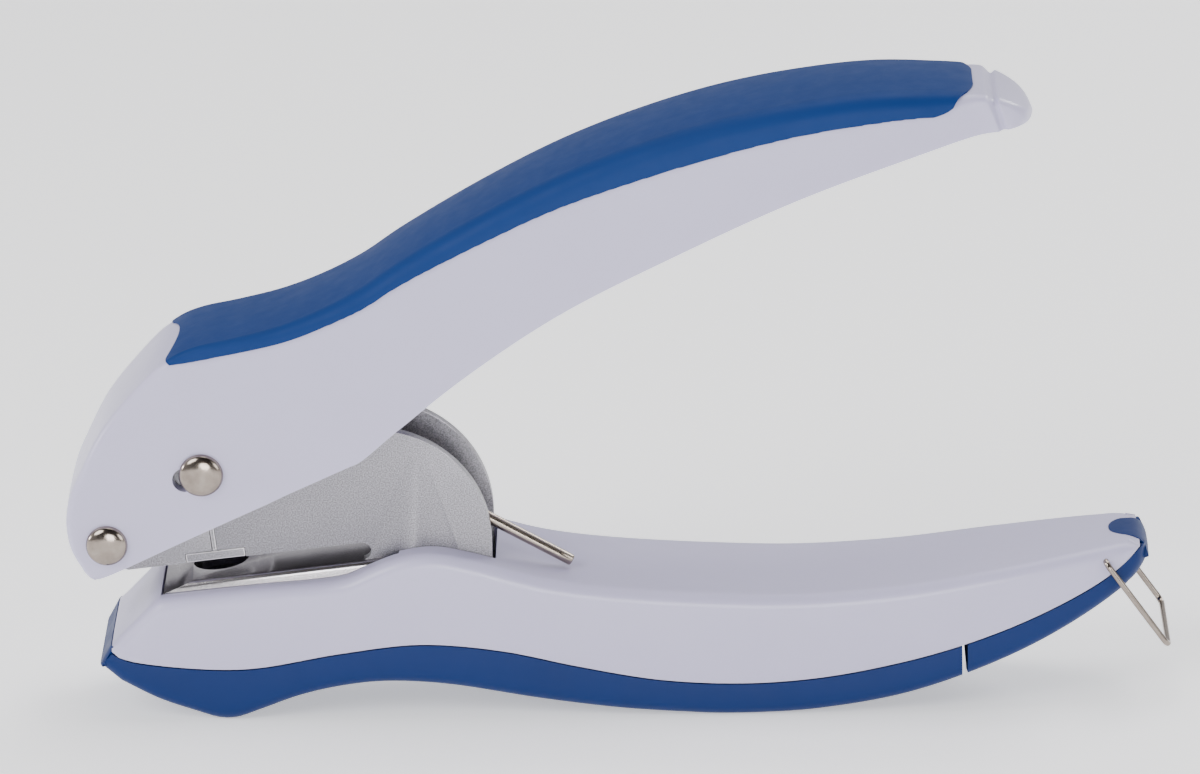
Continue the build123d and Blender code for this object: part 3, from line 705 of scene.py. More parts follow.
@dataclass
class Loft:
    """Skin of a handle: two side walls that meet a crowned face in rounded shoulders.

    The outer line is where the face runs, the inner line is the free edge of the side walls.
    """

    stations: list[Station]
    half_width: Callable[[float], float]
    shoulder: Callable[[Station], float]
    crown: Callable[[Station], float] = lambda station: 0.2
    bulge: float = 0.0
    side_steps: int = 8
    shoulder_steps: int = 7
    face_steps: int = 12
    sink: Callable[[Station, float], float] | None = None
    grow: Callable[[Station], float] = lambda station: 0.0
    drop: Callable[[Station], float] | None = None

    def columns(self) -> int:
        """Number of faces across the section.

        Returns:
            The number.
        """
        return 2 * (self.side_steps + self.shoulder_steps + self.face_steps)

    def point(self, i: int, j: int) -> Place:
        """Place of a grid point.

        Args:
            i: Station.
            j: Column, from the near inner edge over the face to the far one.
        Returns:
            The place in millimetres.
        """
        station = self.stations[i]
        total = self.columns()
        near = j <= total // 2
        k = j if near else total - j
        side = -1 if near else 1
        (xo, zo), (xi, zi) = station.outer, station.inner
        dx, dz = xo - xi, zo - zi
        length = max(1e-4, math.hypot(dx, dz))
        ux, uz = dx / length, dz / length
        more = self.grow(station)
        length += more
        across = min(self.shoulder(station), 0.6 * self.half_width(xo))
        radius = min(across, 0.92 * length)
        start = 0.0 if self.drop is None else max(0.0, length - self.drop(station))
        first = 0.0
        if start > length - radius:
            first = math.asin(min(1.0, (start - length + radius) / radius))
        if k <= self.side_steps and first > 0:
            t = start
            inset = across * (1 - math.cos(first))
        elif k <= self.side_steps:
            t = lerp(start, length - radius, k / self.side_steps)
            inset = 0.0
        elif k <= self.side_steps + self.shoulder_steps:
            angle = lerp(first, math.pi / 2, (k - self.side_steps) / self.shoulder_steps)
            t = length - radius + radius * math.sin(angle)
            inset = across * (1 - math.cos(angle))
        else:
            share = (k - self.side_steps - self.shoulder_steps) / self.face_steps
            t = length
            x, z = xi + ux * t, zi + uz * t
            half = self.half_width(x) + more - across
            y = half * (1 - share)
            lift = self.crown(station) * (1 - (y / max(1e-6, half)) ** 2)
            if self.sink is not None:
                lift -= self.sink(station, y)
            return (x + ux * lift, side * y, z + uz * lift)
        x, z = xi + ux * t, zi + uz * t
        belly = self.bulge * 4 * (t / length) * (1 - t / length)
        return (x, side * (self.half_width(x) + more + belly - inset), z)

    def build(self, name: str, slot: Slot) -> bpy.types.Object:
        """Make the skin.

        Args:
            name: Name of the piece.
            slot: Its finish.
        Returns:
            The object, without a wall yet.
        """
        return sheet_of(name, len(self.stations) - 1, self.columns(), self.point, [FINISHES[slot]])


def width_line(stations: Sequence[Point], end: float, blunt: float) -> Callable[[float], float]:
    """Half width by place along a handle, closing round at an end.

    Args:
        stations: Places with their half widths.
        end: Where the width closes.
        blunt: Length over which it closes.
    Returns:
        The function.
    """
    curve = Curve(stations)

    def width(x: float) -> float:
        value = curve.height(x)
        if x > end - blunt:
            share = min(0.9995, (x - end + blunt) / blunt)
            value *= (1 - share ** 2.6) ** 0.5
        return value

    return width


@dataclass
class LowerHandle:
    """Lower handle: pale shell, blue tray below it, blue tail cap with its tongue."""

    nose: float = -58.5
    tail: float = 61.3
    split: float = 39.9
    split_gap: float = 0.5
    parting_gap: float = 0.16
    top: tuple[Point, ...] = (
        (-58.5, 9.4), (-55.7, 12.2), (-53.3, 14.6), (-52.6, 14.98), (-51.6, 15.1), (-42.0, 16.05),
        (-31.3, 17.15), (-28.6, 18.35), (-25.2, 19.65), (-21.2, 20.2), (-17.0, 19.4), (-8.9, 17.1),
        (-1.76, 15.95), (10.58, 14.95), (21.18, 14.65), (32.53, 15.35), (43.9, 16.95), (55.24, 18.7),
        (58.7, 19.1), (60.6, 18.55), (61.3, 17.0),
    )
    parting: tuple[Point, ...] = (
        (-58.6, 9.0), (-58.3, 8.35), (-56.8, 7.65), (-52.97, 6.95), (-46.0, 6.4), (-41.4, 6.6),
        (-32.15, 8.25), (-22.9, 9.3), (-13.7, 8.45), (-4.56, 6.4), (4.53, 4.7), (13.99, 4.1),
        (23.07, 4.6), (32.3, 6.2), (40.26, 8.3), (48.43, 11.3), (55.62, 14.9), (59.03, 17.5),
        (60.3, 19.2),
    )
    bottom: tuple[Point, ...] = (
        (-57.6, 4.75), (-53.2, 2.4), (-48.7, 0.75), (-46.4, 0.03), (-44.4, 0.03), (-41.7, 0.95),
        (-37.0, 2.7), (-32.35, 3.8), (-27.7, 4.35), (-23.0, 4.25), (-18.5, 3.75), (-9.3, 2.1),
        (0.0, 0.8), (8.3, 0.15), (10.96, 0.0), (17.0, 0.0), (23.07, 0.35), (32.3, 1.8), (40.26, 4.2),
        (48.43, 7.6), (55.62, 11.7), (59.4, 14.6), (61.3, 17.0),
    )
    shoulder: float = 1.5
    shell_wall: float = 1.5
    tray_wall: float = 0.95
    nose_wall: float = 0.7
    cap_wall: float = 0.5
    tongue_wall: float = 0.6
    pocket_front: float = -52.68
    pocket_step: float = -25.1
    pocket_back: float = -14.05
    pocket_floor: float = 11.5
    die_half: float = 6.34
    frame_half: float = 5.68

    def __post_init__(self) -> None:
        """Work out the width and the curves."""
        self.width = width_line(
            [(-60.5, 7.9), (-60.0, 8.0), (-57.0, 8.2), (-52.0, 8.3), (-20.0, 8.9), (19.7, 9.25), (42.4, 8.3),
             (56.2, 6.3), (59.7, 5.4), (61.6, 4.6)],
            61.75,
            2.6,
        )
        self.top_curve = Curve(self.top)
        self.parting_curve = Curve(self.parting)

    @staticmethod
    def _xs(x0: float, x1: float, step: float, extra: Sequence[float]) -> list[float]:
        """Even steps with some more places among them.

        Args:
            x0: First place.
            x1: Last place.
            step: About the distance between two.
            extra: Places to have as well.
        Returns:
            The places in order.
        """
        count = round((x1 - x0) / step)
        xs = [lerp(x0, x1, k / count) for k in range(count + 1)]
        return sorted(set(xs) | {x for x in extra if x0 < x < x1})

    def _sink(self, station: Station, y: float) -> float:
        """Depth of the frame's pocket in the top face.

        Args:
            station: The section.
            y: Place across it.
        Returns:
            The depth, 0 outside the pocket.
        """
        x, z = station.outer
        if not self.pocket_front < x < self.pocket_back:
            return 0.0
        half = self.die_half if x < self.pocket_step else self.frame_half
        return max(0.0, z - self.pocket_floor) if y < half else 0.0

    def shell(self) -> bpy.types.Object:
        """Pale shell, from the nose's slope to the point at the tail.

        Returns:
            The object.
        """
        edges = (self.pocket_front, self.pocket_step, self.pocket_back)
        extra = [e + d for e in edges for d in (-0.04, 0.04)]
        stations = []
        for x in self._xs(self.nose, 60.15, 0.8, extra):
            top = self.top_curve.height(x)
            low = self.parting_curve.height(x)
            stations.append(Station((x, top), (x, min(low, top - 0.12))))
        loft = PocketLoft(
            stations,
            self.width,
            shoulder=lambda s: self.shoulder,
            crown=lambda s: 0.12,
            bulge=0.12,
            side_steps=10,
            sink=self._sink,
            owner=self,
        )
        piece = loft.build("lower_shell", Slot.PALE)
        thicken(piece, self.shell_wall, 0.22)
        return dress(piece, Slot.PALE, "base", "lower_handle_shell")

    def tray(self) -> bpy.types.Object:
        """Blue tray: underside, side walls and hinge end.

        Returns:
            The object.
        """
        gap = self.parting_gap
        stations = [
            Station((-60.0, 6.92), (-58.5, 8.42)),
            Station((-59.9, 6.78), (-58.2, 8.2)),
            Station((-59.6, 6.5), (-57.9, 8.0)),
            Station((-59.1, 6.07), (-57.4, 7.75)),
            Station((-58.4, 5.45), (-56.9, 7.52)),
        ]
        curve = Curve(self.bottom)
        for x in self._xs(-57.6, self.split - self.split_gap / 2 - 0.1, 0.8, (-46.4, -44.4, 10.96, 17.0)):
            lean = 1.2 * bell(x, -57.6, 4.0)
            seam_at = (x + lean, self.parting_curve.height(x + lean) - gap)
            stations.append(Station((x, curve.height(x)), seam_at))
        loft = Loft(stations, self.width, lambda s: self.shoulder, crown=lambda s: 0.0, bulge=0.1)
        piece = loft.build("tray_body", Slot.BLUE)
        thicken(piece, self.tray_wall, 0.2)
        return dress(piece, Slot.BLUE, "tray", "chip_tray")

    def nose_strip(self) -> bpy.types.Object:
        """Front wall of the tray, rising before the shell's nose.

        Returns:
            The object.
        """
        rows, columns = 20, 40
        line = Curve([(-58.66, 9.32), (-58.82, 9.02), (-59.35, 8.06), (-59.82, 7.22), (-59.98, 6.94),
                      (-59.94, 6.8)])
        half = self.width(-59.6) - 0.02
        turn = 1.1

        def place(i: int, j: int) -> Place:
            """Place of a point of the strip."""
            x, z = line.at(i / rows)
            y = half * math.sin((2 * j / columns - 1) * math.pi / 2)
            back = max(0.0, abs(y) - half + turn) / turn
            return (x + 0.3 * back ** 2, y, z)

        piece = sheet_of("tray_nose", rows, columns, place, [FINISHES[Slot.BLUE]], Vector((-1, 0, 0)))
        thicken(piece, self.nose_wall, 0.12)
        return dress(piece, Slot.BLUE, "tray")

    def bridge(self) -> bpy.types.Object:
        """Cross bridge that the frame stands on.

        Returns:
            The object.
        """
        front, back = -25.5, -14.0
        low, foot, ledge, top = 6.6, 8.6, 9.8, 10.8
        inner, middle, outer = 5.7, 7.1, 8.1
        half = [(inner, foot), (inner, top), (outer, top), (outer, ledge), (middle, ledge), (middle, low)]
        outline = [(front, y, z) for y, z in half] + [(front, -y, z) for y, z in reversed(half)]
        piece = prism("shell_bridge", outline, Vector((back - front, 0, 0)), [FINISHES[Slot.PALE]], 0.25)
        return dress(piece, Slot.PALE, "base")

    def hinge_ears(self) -> list[bpy.types.Object]:
        """Two ears that carry the tray's hinge pin.

        Returns:
            The objects.
        """
        front, back = 38.95, 39.55
        low, top = 5.75, 14.6
        thickness = 1.56
        outline = [(front, low + 0.3), (front + 0.2, low), (back - 0.1, low), (back, low + 0.2), (back, top),
                   (front, top)]
        ears = []
        for name, y in (("ear_near", -5.0), ("ear_far", 5.0)):
            corners = [(px, y - thickness / 2, pz) for px, pz in outline]
            ear = prism(name, corners, Vector((0, thickness, 0)), [FINISHES[Slot.PALE]], 0.12)
            ears.append(dress(ear, Slot.PALE, "base"))
        return ears

    def cap(self) -> bpy.types.Object:
        """Blue tail cap behind the split.

        Returns:
            The object.
        """
        gap = self.parting_gap
        curve = Curve(self.bottom)
        first = self.split + self.split_gap / 2 + 0.05
        stations = []
        for x in self._xs(first, 58.6, 0.8, ()):
            lean = -1.9 * smooth((x - 50) / 9)
            seam_at = (x + lean, self.parting_curve.height(x + lean) - gap)
            stations.append(Station((x, curve.height(x)), seam_at))
        rear = Curve([(58.6, 13.95), (59.6, 14.8), (60.5, 15.8), (61.1, 16.6), (61.3, 17.3), (61.1, 18.1),
                      (60.75, 18.55)])
        seam = Curve([(56.8, 15.55), (57.6, 16.15), (58.5, 16.95), (59.2, 17.6), (59.8, 18.2), (60.2, 18.5),
                      (60.45, 18.62)])
        for k in range(1, 13):
            stations.append(Station(rear.at(k / 12), seam.at(k / 12)))
        loft = Loft(stations, self.width, lambda s: self.shoulder, crown=lambda s: 0.0, bulge=0.05)
        piece = loft.build("tail_cap_body", Slot.BLUE)
        thicken(piece, self.cap_wall, 0.12)
        return dress(piece, Slot.BLUE, "base", "tail_cap")

    def cap_front(self) -> bpy.types.Object:
        """Front wall of the tail cap, just behind the split.

        Returns:
            The object.
        """
        x, thickness = self.split + 0.75, 0.9
        half = self.width(x) - 0.75
        floor = Curve(self.bottom).height(x + thickness) + 0.45
        top = self.parting_curve.height(x) - 0.35
        corner = 0.9
        right = [(half - corner, floor), (half, floor + corner), (half, top)]
        outline = [(x, -y, z) for y, z in reversed(right)] + [(x, y, z) for y, z in right]
        piece = prism("tail_cap_front", outline, Vector((thickness, 0, 0)), [FINISHES[Slot.BLUE]], 0.12)
        return dress(piece, Slot.BLUE, "base")

    def tongue(self) -> bpy.types.Object:
        """Blue tongue on the top of the tail.

        Returns:
            The object.
        """
        rows, columns = 22, 20

        def place(i: int, j: int) -> Place:
            """Place of a point of the tongue."""
            v = 2 * j / columns - 1
            half = 2.75
            front = 56.75 + half * (1 - (1 - min(1, abs(v)) ** 2.2) ** 0.5)
            x = lerp(front, 61.25, i / rows)
            spread = half + 0.8 * smooth((x - 58.5) / 3) + 0.5 * smooth((x - 60.2) / 1.1)
            y = v * spread
            z = self.top_curve.height(x) + 0.12 * (1 - (y / 5.0) ** 2) + 0.07
            return (x, y, z - 0.3 * smooth((abs(y) - 2.9) / 1.5))

        piece = sheet_of("tail_cap_tongue", rows, columns, place, [FINISHES[Slot.BLUE]], Vector((0, 0, 1)))
        thicken(piece, self.tongue_wall, 0.12)
        return dress(piece, Slot.BLUE, "base")


@dataclass
class PocketLoft(Loft):
    """Loft whose face has two columns at the rim of a pocket."""

    owner: LowerHandle | None = None

    def point(self, i: int, j: int) -> Place:
        """Place of a grid point, its face columns gathered at the pocket's rim.

        Args:
            i: Station.
            j: Column.
        Returns:
            The place in millimetres.
        """
        total = self.columns()
        near = j <= total // 2
        k = j if near else total - j
        first = self.side_steps + self.shoulder_steps
        if self.owner is None or k <= first:
            return super().point(i, j)
        station = self.stations[i]
        x, z = station.outer
        edge = self.half_width(x) - min(self.shoulder(station), 0.6 * self.half_width(x))
        rim = self.owner.die_half if x < self.owner.pocket_step else self.owner.frame_half
        rim = min(rim, edge - 0.02)
        step = k - first
        if step <= 3:
            y = lerp(edge, rim, step / 3)
        elif step == 4:
            y = rim - 0.03
        else:
            y = lerp(rim - 0.03, 0.0, (step - 4) / (self.face_steps - 4))
        lift = self.crown(station) * (1 - (y / edge) ** 2)
        if step >= 4 and self.sink is not None:
            lift -= self.sink(station, 0.0)
        return (x, -y if near else y, z + lift)


@dataclass
class UpperHandle:
    """Upper handle: pale shell with its brow, chin, lock groove and rivet slot, and the blue grip."""

    shoulder_front: float = 0.85
    shoulder_grip: float = 2.2
    grip_front: float = -51.1
    grip_back: float = 41.35
    grip_proud: float = 0.22
    tab: float = 1.7
    front_turn: float = 0.5
    back_sweep: float = 5.6
    wall: float = 1.6
    groove_at: float = 43.25
    groove_half: float = 0.8
    groove_depth: float = 0.5
    outer: tuple[tuple[float, float, float], ...] = (
        (-60.35, 17.42, -60.05), (-61.2, 17.85, -59.7), (-61.62, 18.6, -59.2), (-62.3, 19.8, -58.7),
        (-62.9, 21.2, -58.0), (-63.25, 24.2, -56.2), (-62.7, 27.4, -53.7), (-61.4, 30.4, -51.0),
        (-58.8, 35.35, -47.0), (-55.2, 39.85, -43.0), (-51.7, 43.35, -39.5), (-49.6, 44.75, -37.6),
        (-47.3, 45.6, -35.9), (-43.5, 46.4, -33.4), (-38.1, 47.75, -30.9), (-33.46, 49.55, -28.9),
        (-28.8, 51.98, -26.3), (-24.15, 55.17, -21.4), (-14.88, 60.65, -11.6), (-5.67, 65.33, -2.6),
        (3.46, 68.92, 6.4), (12.59, 71.66, 15.3), (21.65, 73.43, 24.0), (30.71, 74.42, 32.6),
        (39.77, 74.13, 41.3), (43.18, 73.45, 44.5), (45.0, 72.75, 45.6), (46.6, 71.8, 46.4),
        (47.6, 70.85, 46.9), (47.95, 70.05, 47.1),
    )
    lower: tuple[Point, ...] = (
        (-60.35, 17.4), (-59.6, 17.5), (-58.8, 17.75), (-50.0, 21.82), (-40.0, 26.45), (-30.6, 30.8),
        (-29.3, 31.4), (-25.02, 35.03), (-16.83, 41.7), (-5.96, 49.08), (7.74, 56.12), (21.36, 62.3),
        (34.92, 67.1), (41.73, 69.1), (44.6, 69.4), (46.2, 69.6), (47.2, 69.75),
    )
    grip_edge: tuple[Point, ...] = (
        (-54.4, 42.0), (-51.2, 43.4), (-49.3, 43.7), (-47.0, 44.1), (-42.4, 45.0), (-37.8, 46.1),
        (-33.2, 47.85), (-28.6, 50.0), (-24.0, 52.95), (-14.8, 57.8), (-5.67, 62.05), (3.39, 65.2),
        (12.45, 67.9), (21.5, 70.03), (30.49, 71.3), (34.99, 71.65), (37.5, 71.65), (43.0, 71.4),
    )

    def __post_init__(self) -> None:
        """Work out the width and the curves."""
        self.width = width_line(
            [(-64.5, 7.15), (-63.8, 7.3), (-58.0, 7.5), (-46.0, 7.55), (-30.0, 8.0), (-11.2, 8.38),
             (6.9, 8.5), (25.0, 8.1), (35.9, 7.3), (43.2, 6.1), (46.2, 5.1), (48.3, 4.3)],
            48.25,
            3.2,
        )
        self.outer_curve = Curve([(x, z) for x, z, _ in self.outer], 10)
        self.lower_curve = Curve(self.lower, 16)
        self.grip_curve = Curve(self.grip_edge)

    def _stations(self, share0: float, share1: float, count: int) -> list[Station]:
        """Sections at even steps of the outer line.

        Args:
            share0: Share of the line at the first.
            share1: Share of the line at the last.
            count: Steps between them.
        Returns:
            The sections.
        """
        starts = [i * 10 for i in range(len(self.outer))]
        lengths = self.outer_curve.lengths
        total = lengths[-1]
        out = []
        for k in range(count + 1):
            share = lerp(share0, share1, k / count)
            point = self.outer_curve.at(share)
            goal = share * total
            span = 0
            while span < len(starts) - 2 and lengths[starts[span + 1]] < goal:
                span += 1
            a, b = lengths[starts[span]], lengths[starts[span + 1]]
            t = min(1.0, max(0.0, (goal - a) / (b - a)))
            x = self._between([o[2] for o in self.outer], span, t)
            out.append(Station(point, (x, self.lower_curve.height(x))))
        return out

    @staticmethod
    def _between(values: Sequence[float], k: int, t: float) -> float:
        """Smooth value between two of a list.

        Args:
            values: The values.
            k: Index of the first of the two.
            t: Share of the way to the next.
        Returns:
            The value.
        """
        last = len(values) - 1
        p0, p1, p2, p3 = values[max(0, k - 1)], values[k], values[min(last, k + 1)], values[min(last, k + 2)]
        m1, m2 = (p2 - p0) / 2, (p3 - p1) / 2
        h, g = 2 * (p1 - p2) + m1 + m2, -3 * (p1 - p2) - 2 * m1 - m2
        return p1 + t * (m1 + t * (g + t * h))

    def _grip_share(self, x: float) -> float:
        """How far a place is inside the grip's length.

        Args:
            x: The place.
        Returns:
            1 under the grip, easing to 0 at its ends.
        """
        return smooth((x - self.grip_front + 1.5) / 3) * smooth((self.grip_back + 1.2 - x) / 2.4)

    def _shoulder(self, station: Station) -> float:
        """Radius of the shoulder: crisp at the brow and tip, soft under the grip.

        Args:
            station: The section.
        Returns:
            The radius.
        """
        x = station.outer[0]
        share = smooth((x + 47) / 26) * smooth((44 - x) / 9)
        crisp = 0.2 * bell(x, self.grip_front + 1.5, 7.0) * smooth((station.outer[1] - 36) / 6)
        return lerp(self.shoulder_front, self.shoulder_grip, share) - crisp

    def _drop(self, station: Station) -> float:
        """Distance from the outer line down to the grip's edge on the side wall.

        Args:
            station: The section.
        Returns:
            The distance.
        """
        (xo, zo), (xi, zi) = station.outer, station.inner
        length = math.hypot(xo - xi, zo - zi)
        steps = 80
        for k in range(steps + 1):
            t = 6.0 * k / steps
            x = xo + (xi - xo) * t / length
            z = zo + (zi - zo) * t / length
            if z < self.grip_curve.height(x):
                return max(0.5, t)
        return 6.0

    def shell(self) -> bpy.types.Object:
        """Pale shell with the lock groove.

        Returns:
            The object.
        """
        stations = self._stations(0.0, 1.0, 200)
        extra = self._stations(self._share(self.groove_at - 1.6), self._share(self.groove_at + 1.6), 24)
        low, high = extra[0].outer[0], extra[-1].outer[0]
        stations = [s for s in stations if not (s.outer[1] > 60 and low <= s.outer[0] <= high)] + extra
        stations.sort(key=self._order)
        loft = Loft(
            stations,
            self.width,
            shoulder=self._shoulder,
            crown=lambda s: 0.12 + 0.25 * self._grip_share(s.outer[0]),
            bulge=0.15,
            side_steps=12,
            grow=self._shell_grow,
        )
        piece = loft.build("upper_shell", Slot.PALE)
        thicken(piece, self.wall, 0.22)
        self._cut_slot(piece)
        return dress(piece, Slot.PALE, "lever", "upper_handle_shell")

    def _order(self, station: Station) -> float:
        """Length of the outer line up to a section.

        Args:
            station: The section.
        Returns:
            The length.
        """
        best = min(range(len(self.outer_curve.samples)),
                   key=lambda i: math.dist(self.outer_curve.samples[i], station.outer))
        near = self.outer_curve.lengths[best]
        a = self.outer_curve.samples[max(0, best - 1)]
        b = self.outer_curve.samples[min(len(self.outer_curve.samples) - 1, best + 1)]
        way = Vector(b) - Vector(a)
        return near + (Vector(station.outer) - Vector(self.outer_curve.samples[best])).dot(way.normalized())

    def _share(self, x: float) -> float:
        """Share of the outer line at a place on its upper run.

        Args:
            x: The place.
        Returns:
            The share.
        """
        for point, length in zip(reversed(self.outer_curve.samples), reversed(self.outer_curve.lengths)):
            if point[0] <= x:
                return length / self.outer_curve.lengths[-1]
        return 0.0

    def _shell_grow(self, station: Station) -> float:
        """How far the shell stands out of its line: less under the grip and in the lock groove.

        Args:
            station: The section.
        Returns:
            The distance, 0 or less.
        """
        x = station.outer[0]
        groove = 0.0
        if station.outer[1] > 60:
            groove = bell(x, self.groove_at, self.groove_half) * self.groove_depth
        inside = 0.0
        if station.outer[1] > 42:
            inside = self._grip_share(x) * self.grip_proud
        return -groove - inside

    def _cut_slot(self, piece: bpy.types.Object) -> None:
        """Cut the slot that the drive rivet slides in.

        Args:
            piece: The shell, its wall not yet applied.
        """
        radius, depth = 1.43 * MM, 0.03
        bm = bmesh.new()
        for x, z in (DRIVE, (-49.35, 29.55)):
            turned = Matrix.Rotation(math.pi / 2, 4, "X")
            bmesh.ops.create_cone(
                bm, cap_ends=True, segments=40, radius1=radius, radius2=radius, depth=depth,
                matrix=Matrix.Translation(((x + DATUM) * MM, 0, z * MM)) @ turned,
            )
        bmesh.ops.convex_hull(bm, input=bm.verts)
        mesh = bpy.data.meshes.new("slot_cutter")
        bm.to_mesh(mesh)
        bm.free()
        cutter = bpy.data.objects.new("slot_cutter", mesh)
        bpy.context.scene.collection.objects.link(cutter)
        cut = piece.modifiers.new("slot", "BOOLEAN")
        cut.operation = "DIFFERENCE"
        cut.solver = "EXACT"
        cut.use_self = True
        cut.object = cutter
        graph = bpy.context.evaluated_depsgraph_get()
        done = bpy.data.meshes.new_from_object(piece.evaluated_get(graph))
        piece.modifiers.clear()
        piece.data = done
        bpy.data.objects.remove(cutter)

    def grip(self) -> bpy.types.Object:
        """Blue grip, its front edge hollow round the brow's tab.

        Returns:
            The object.
        """
        front, back = self._share_front(self.grip_front), self._share(self.grip_back)
        stations = self._stations(front, back, 170)
        length = self.outer_curve.lengths[-1]
        loft = Loft(
            stations,
            self.width,
            shoulder=self._shoulder,
            crown=lambda s: 0.12 + 0.25 * self._grip_share(s.outer[0]),
            bulge=0.15,
            side_steps=6,
            grow=lambda s: 0.0,
            drop=self._drop,
        )
        base = loft.point

        def place(i: int, j: int) -> Place:
            """Place of a point of the grip, slid along at its two ends."""
            share = i / (len(stations) - 1)
            total = loft.columns()
            k = min(j, total - j)
            low = max(0.0, 1 - k / (loft.side_steps + loft.shoulder_steps))
            y = abs(base(i, j)[1])
            slide = self.tab * max(0.0, 1 - (y / 6.1) ** 2) * max(0.0, 1 - share / 0.09)
            slide += self.front_turn * low ** 2 * max(0.0, 1 - share / 0.05)
            rear = max(0.0, 1 - k / (loft.side_steps + loft.shoulder_steps + 6))
            slide -= self.back_sweep * rear ** 1.6 * max(0.0, 1 - (1 - share) / 0.14)
            if abs(slide) < 1e-6:
                return base(i, j)
            goal = front + (back - front) * share + slide / length
            stations[i], kept = self._stations(goal, goal, 1)[0], stations[i]
            point = base(i, j)
            stations[i] = kept
            return point

        piece = sheet_of("grip_skin", len(stations) - 1, loft.columns(), place, [FINISHES[Slot.GRIP]])
        thicken(piece, 0.55, 0.16)
        return dress(piece, Slot.GRIP, "lever", "upper_grip")

    def _share_front(self, x: float) -> float:
        """Share of the outer line where it climbs past a place over the brow.

        Args:
            x: The place.
        Returns:
            The share.
        """
        for point, length in zip(self.outer_curve.samples, self.outer_curve.lengths):
            if point[1] > 40 and point[0] >= x:
                return length / self.outer_curve.lengths[-1]
        return 0.0


# --------------------------------------------------------------------------- metal parts
@dataclass
class Rivet:
    """Domed rivet with a rolled far end."""

    node: str
    centre: Point
    body: str
    head: float = 5.1
    rise: float = 1.15
    edge: float = 0.22
    shank: float = 2.46
    rolled: float = 4.0
    rolled_rise: float = 0.8

    def build(self) -> bpy.types.Object:
        """Make the rivet from its profile.

        Returns:
            The object.
        """
        low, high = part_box(self.node)
        near = low.y / MM + self.rise
        far = high.y / MM - self.rolled_rise
        r = self.head / 2
        dome = [(0.0, near - self.rise)]
        for k in range(1, 13):
            angle = k / 12 * math.pi / 2
            height = (self.rise - self.edge) * math.cos(angle) ** 0.9
            dome.append((r * 0.985 * math.sin(angle), near - self.edge - height))
        edge = [(r, near - 0.16), (r, near - 0.08), (r * 0.985, near - 0.01), (r * 0.95, near)]
        s = self.shank / 2
        q = self.rolled / 2
        shaft = [(s, near), (s, far), (q * 0.95, far), (q, far + 0.1)]
        roll = []
        for k in range(1, 9):
            angle = k / 8 * math.pi
            mid, half = (q + 0.7) / 2, (q - 0.7) / 2
            height = (self.rolled_rise - 0.12) * math.sin(angle)
            roll.append((mid + half * math.cos(angle), far + 0.1 + height))
        hole = [(0.66, far - 0.3), (0.6, far - 1.9), (0.0, far - 2.2)]
        profile = dome + edge + shaft + roll + hole
        piece = turn_up(self.node + "_metal", profile, self.centre, [FINISHES[Slot.BRIGHT]])
        return dress(piece, Slot.BRIGHT, self.body, self.node)


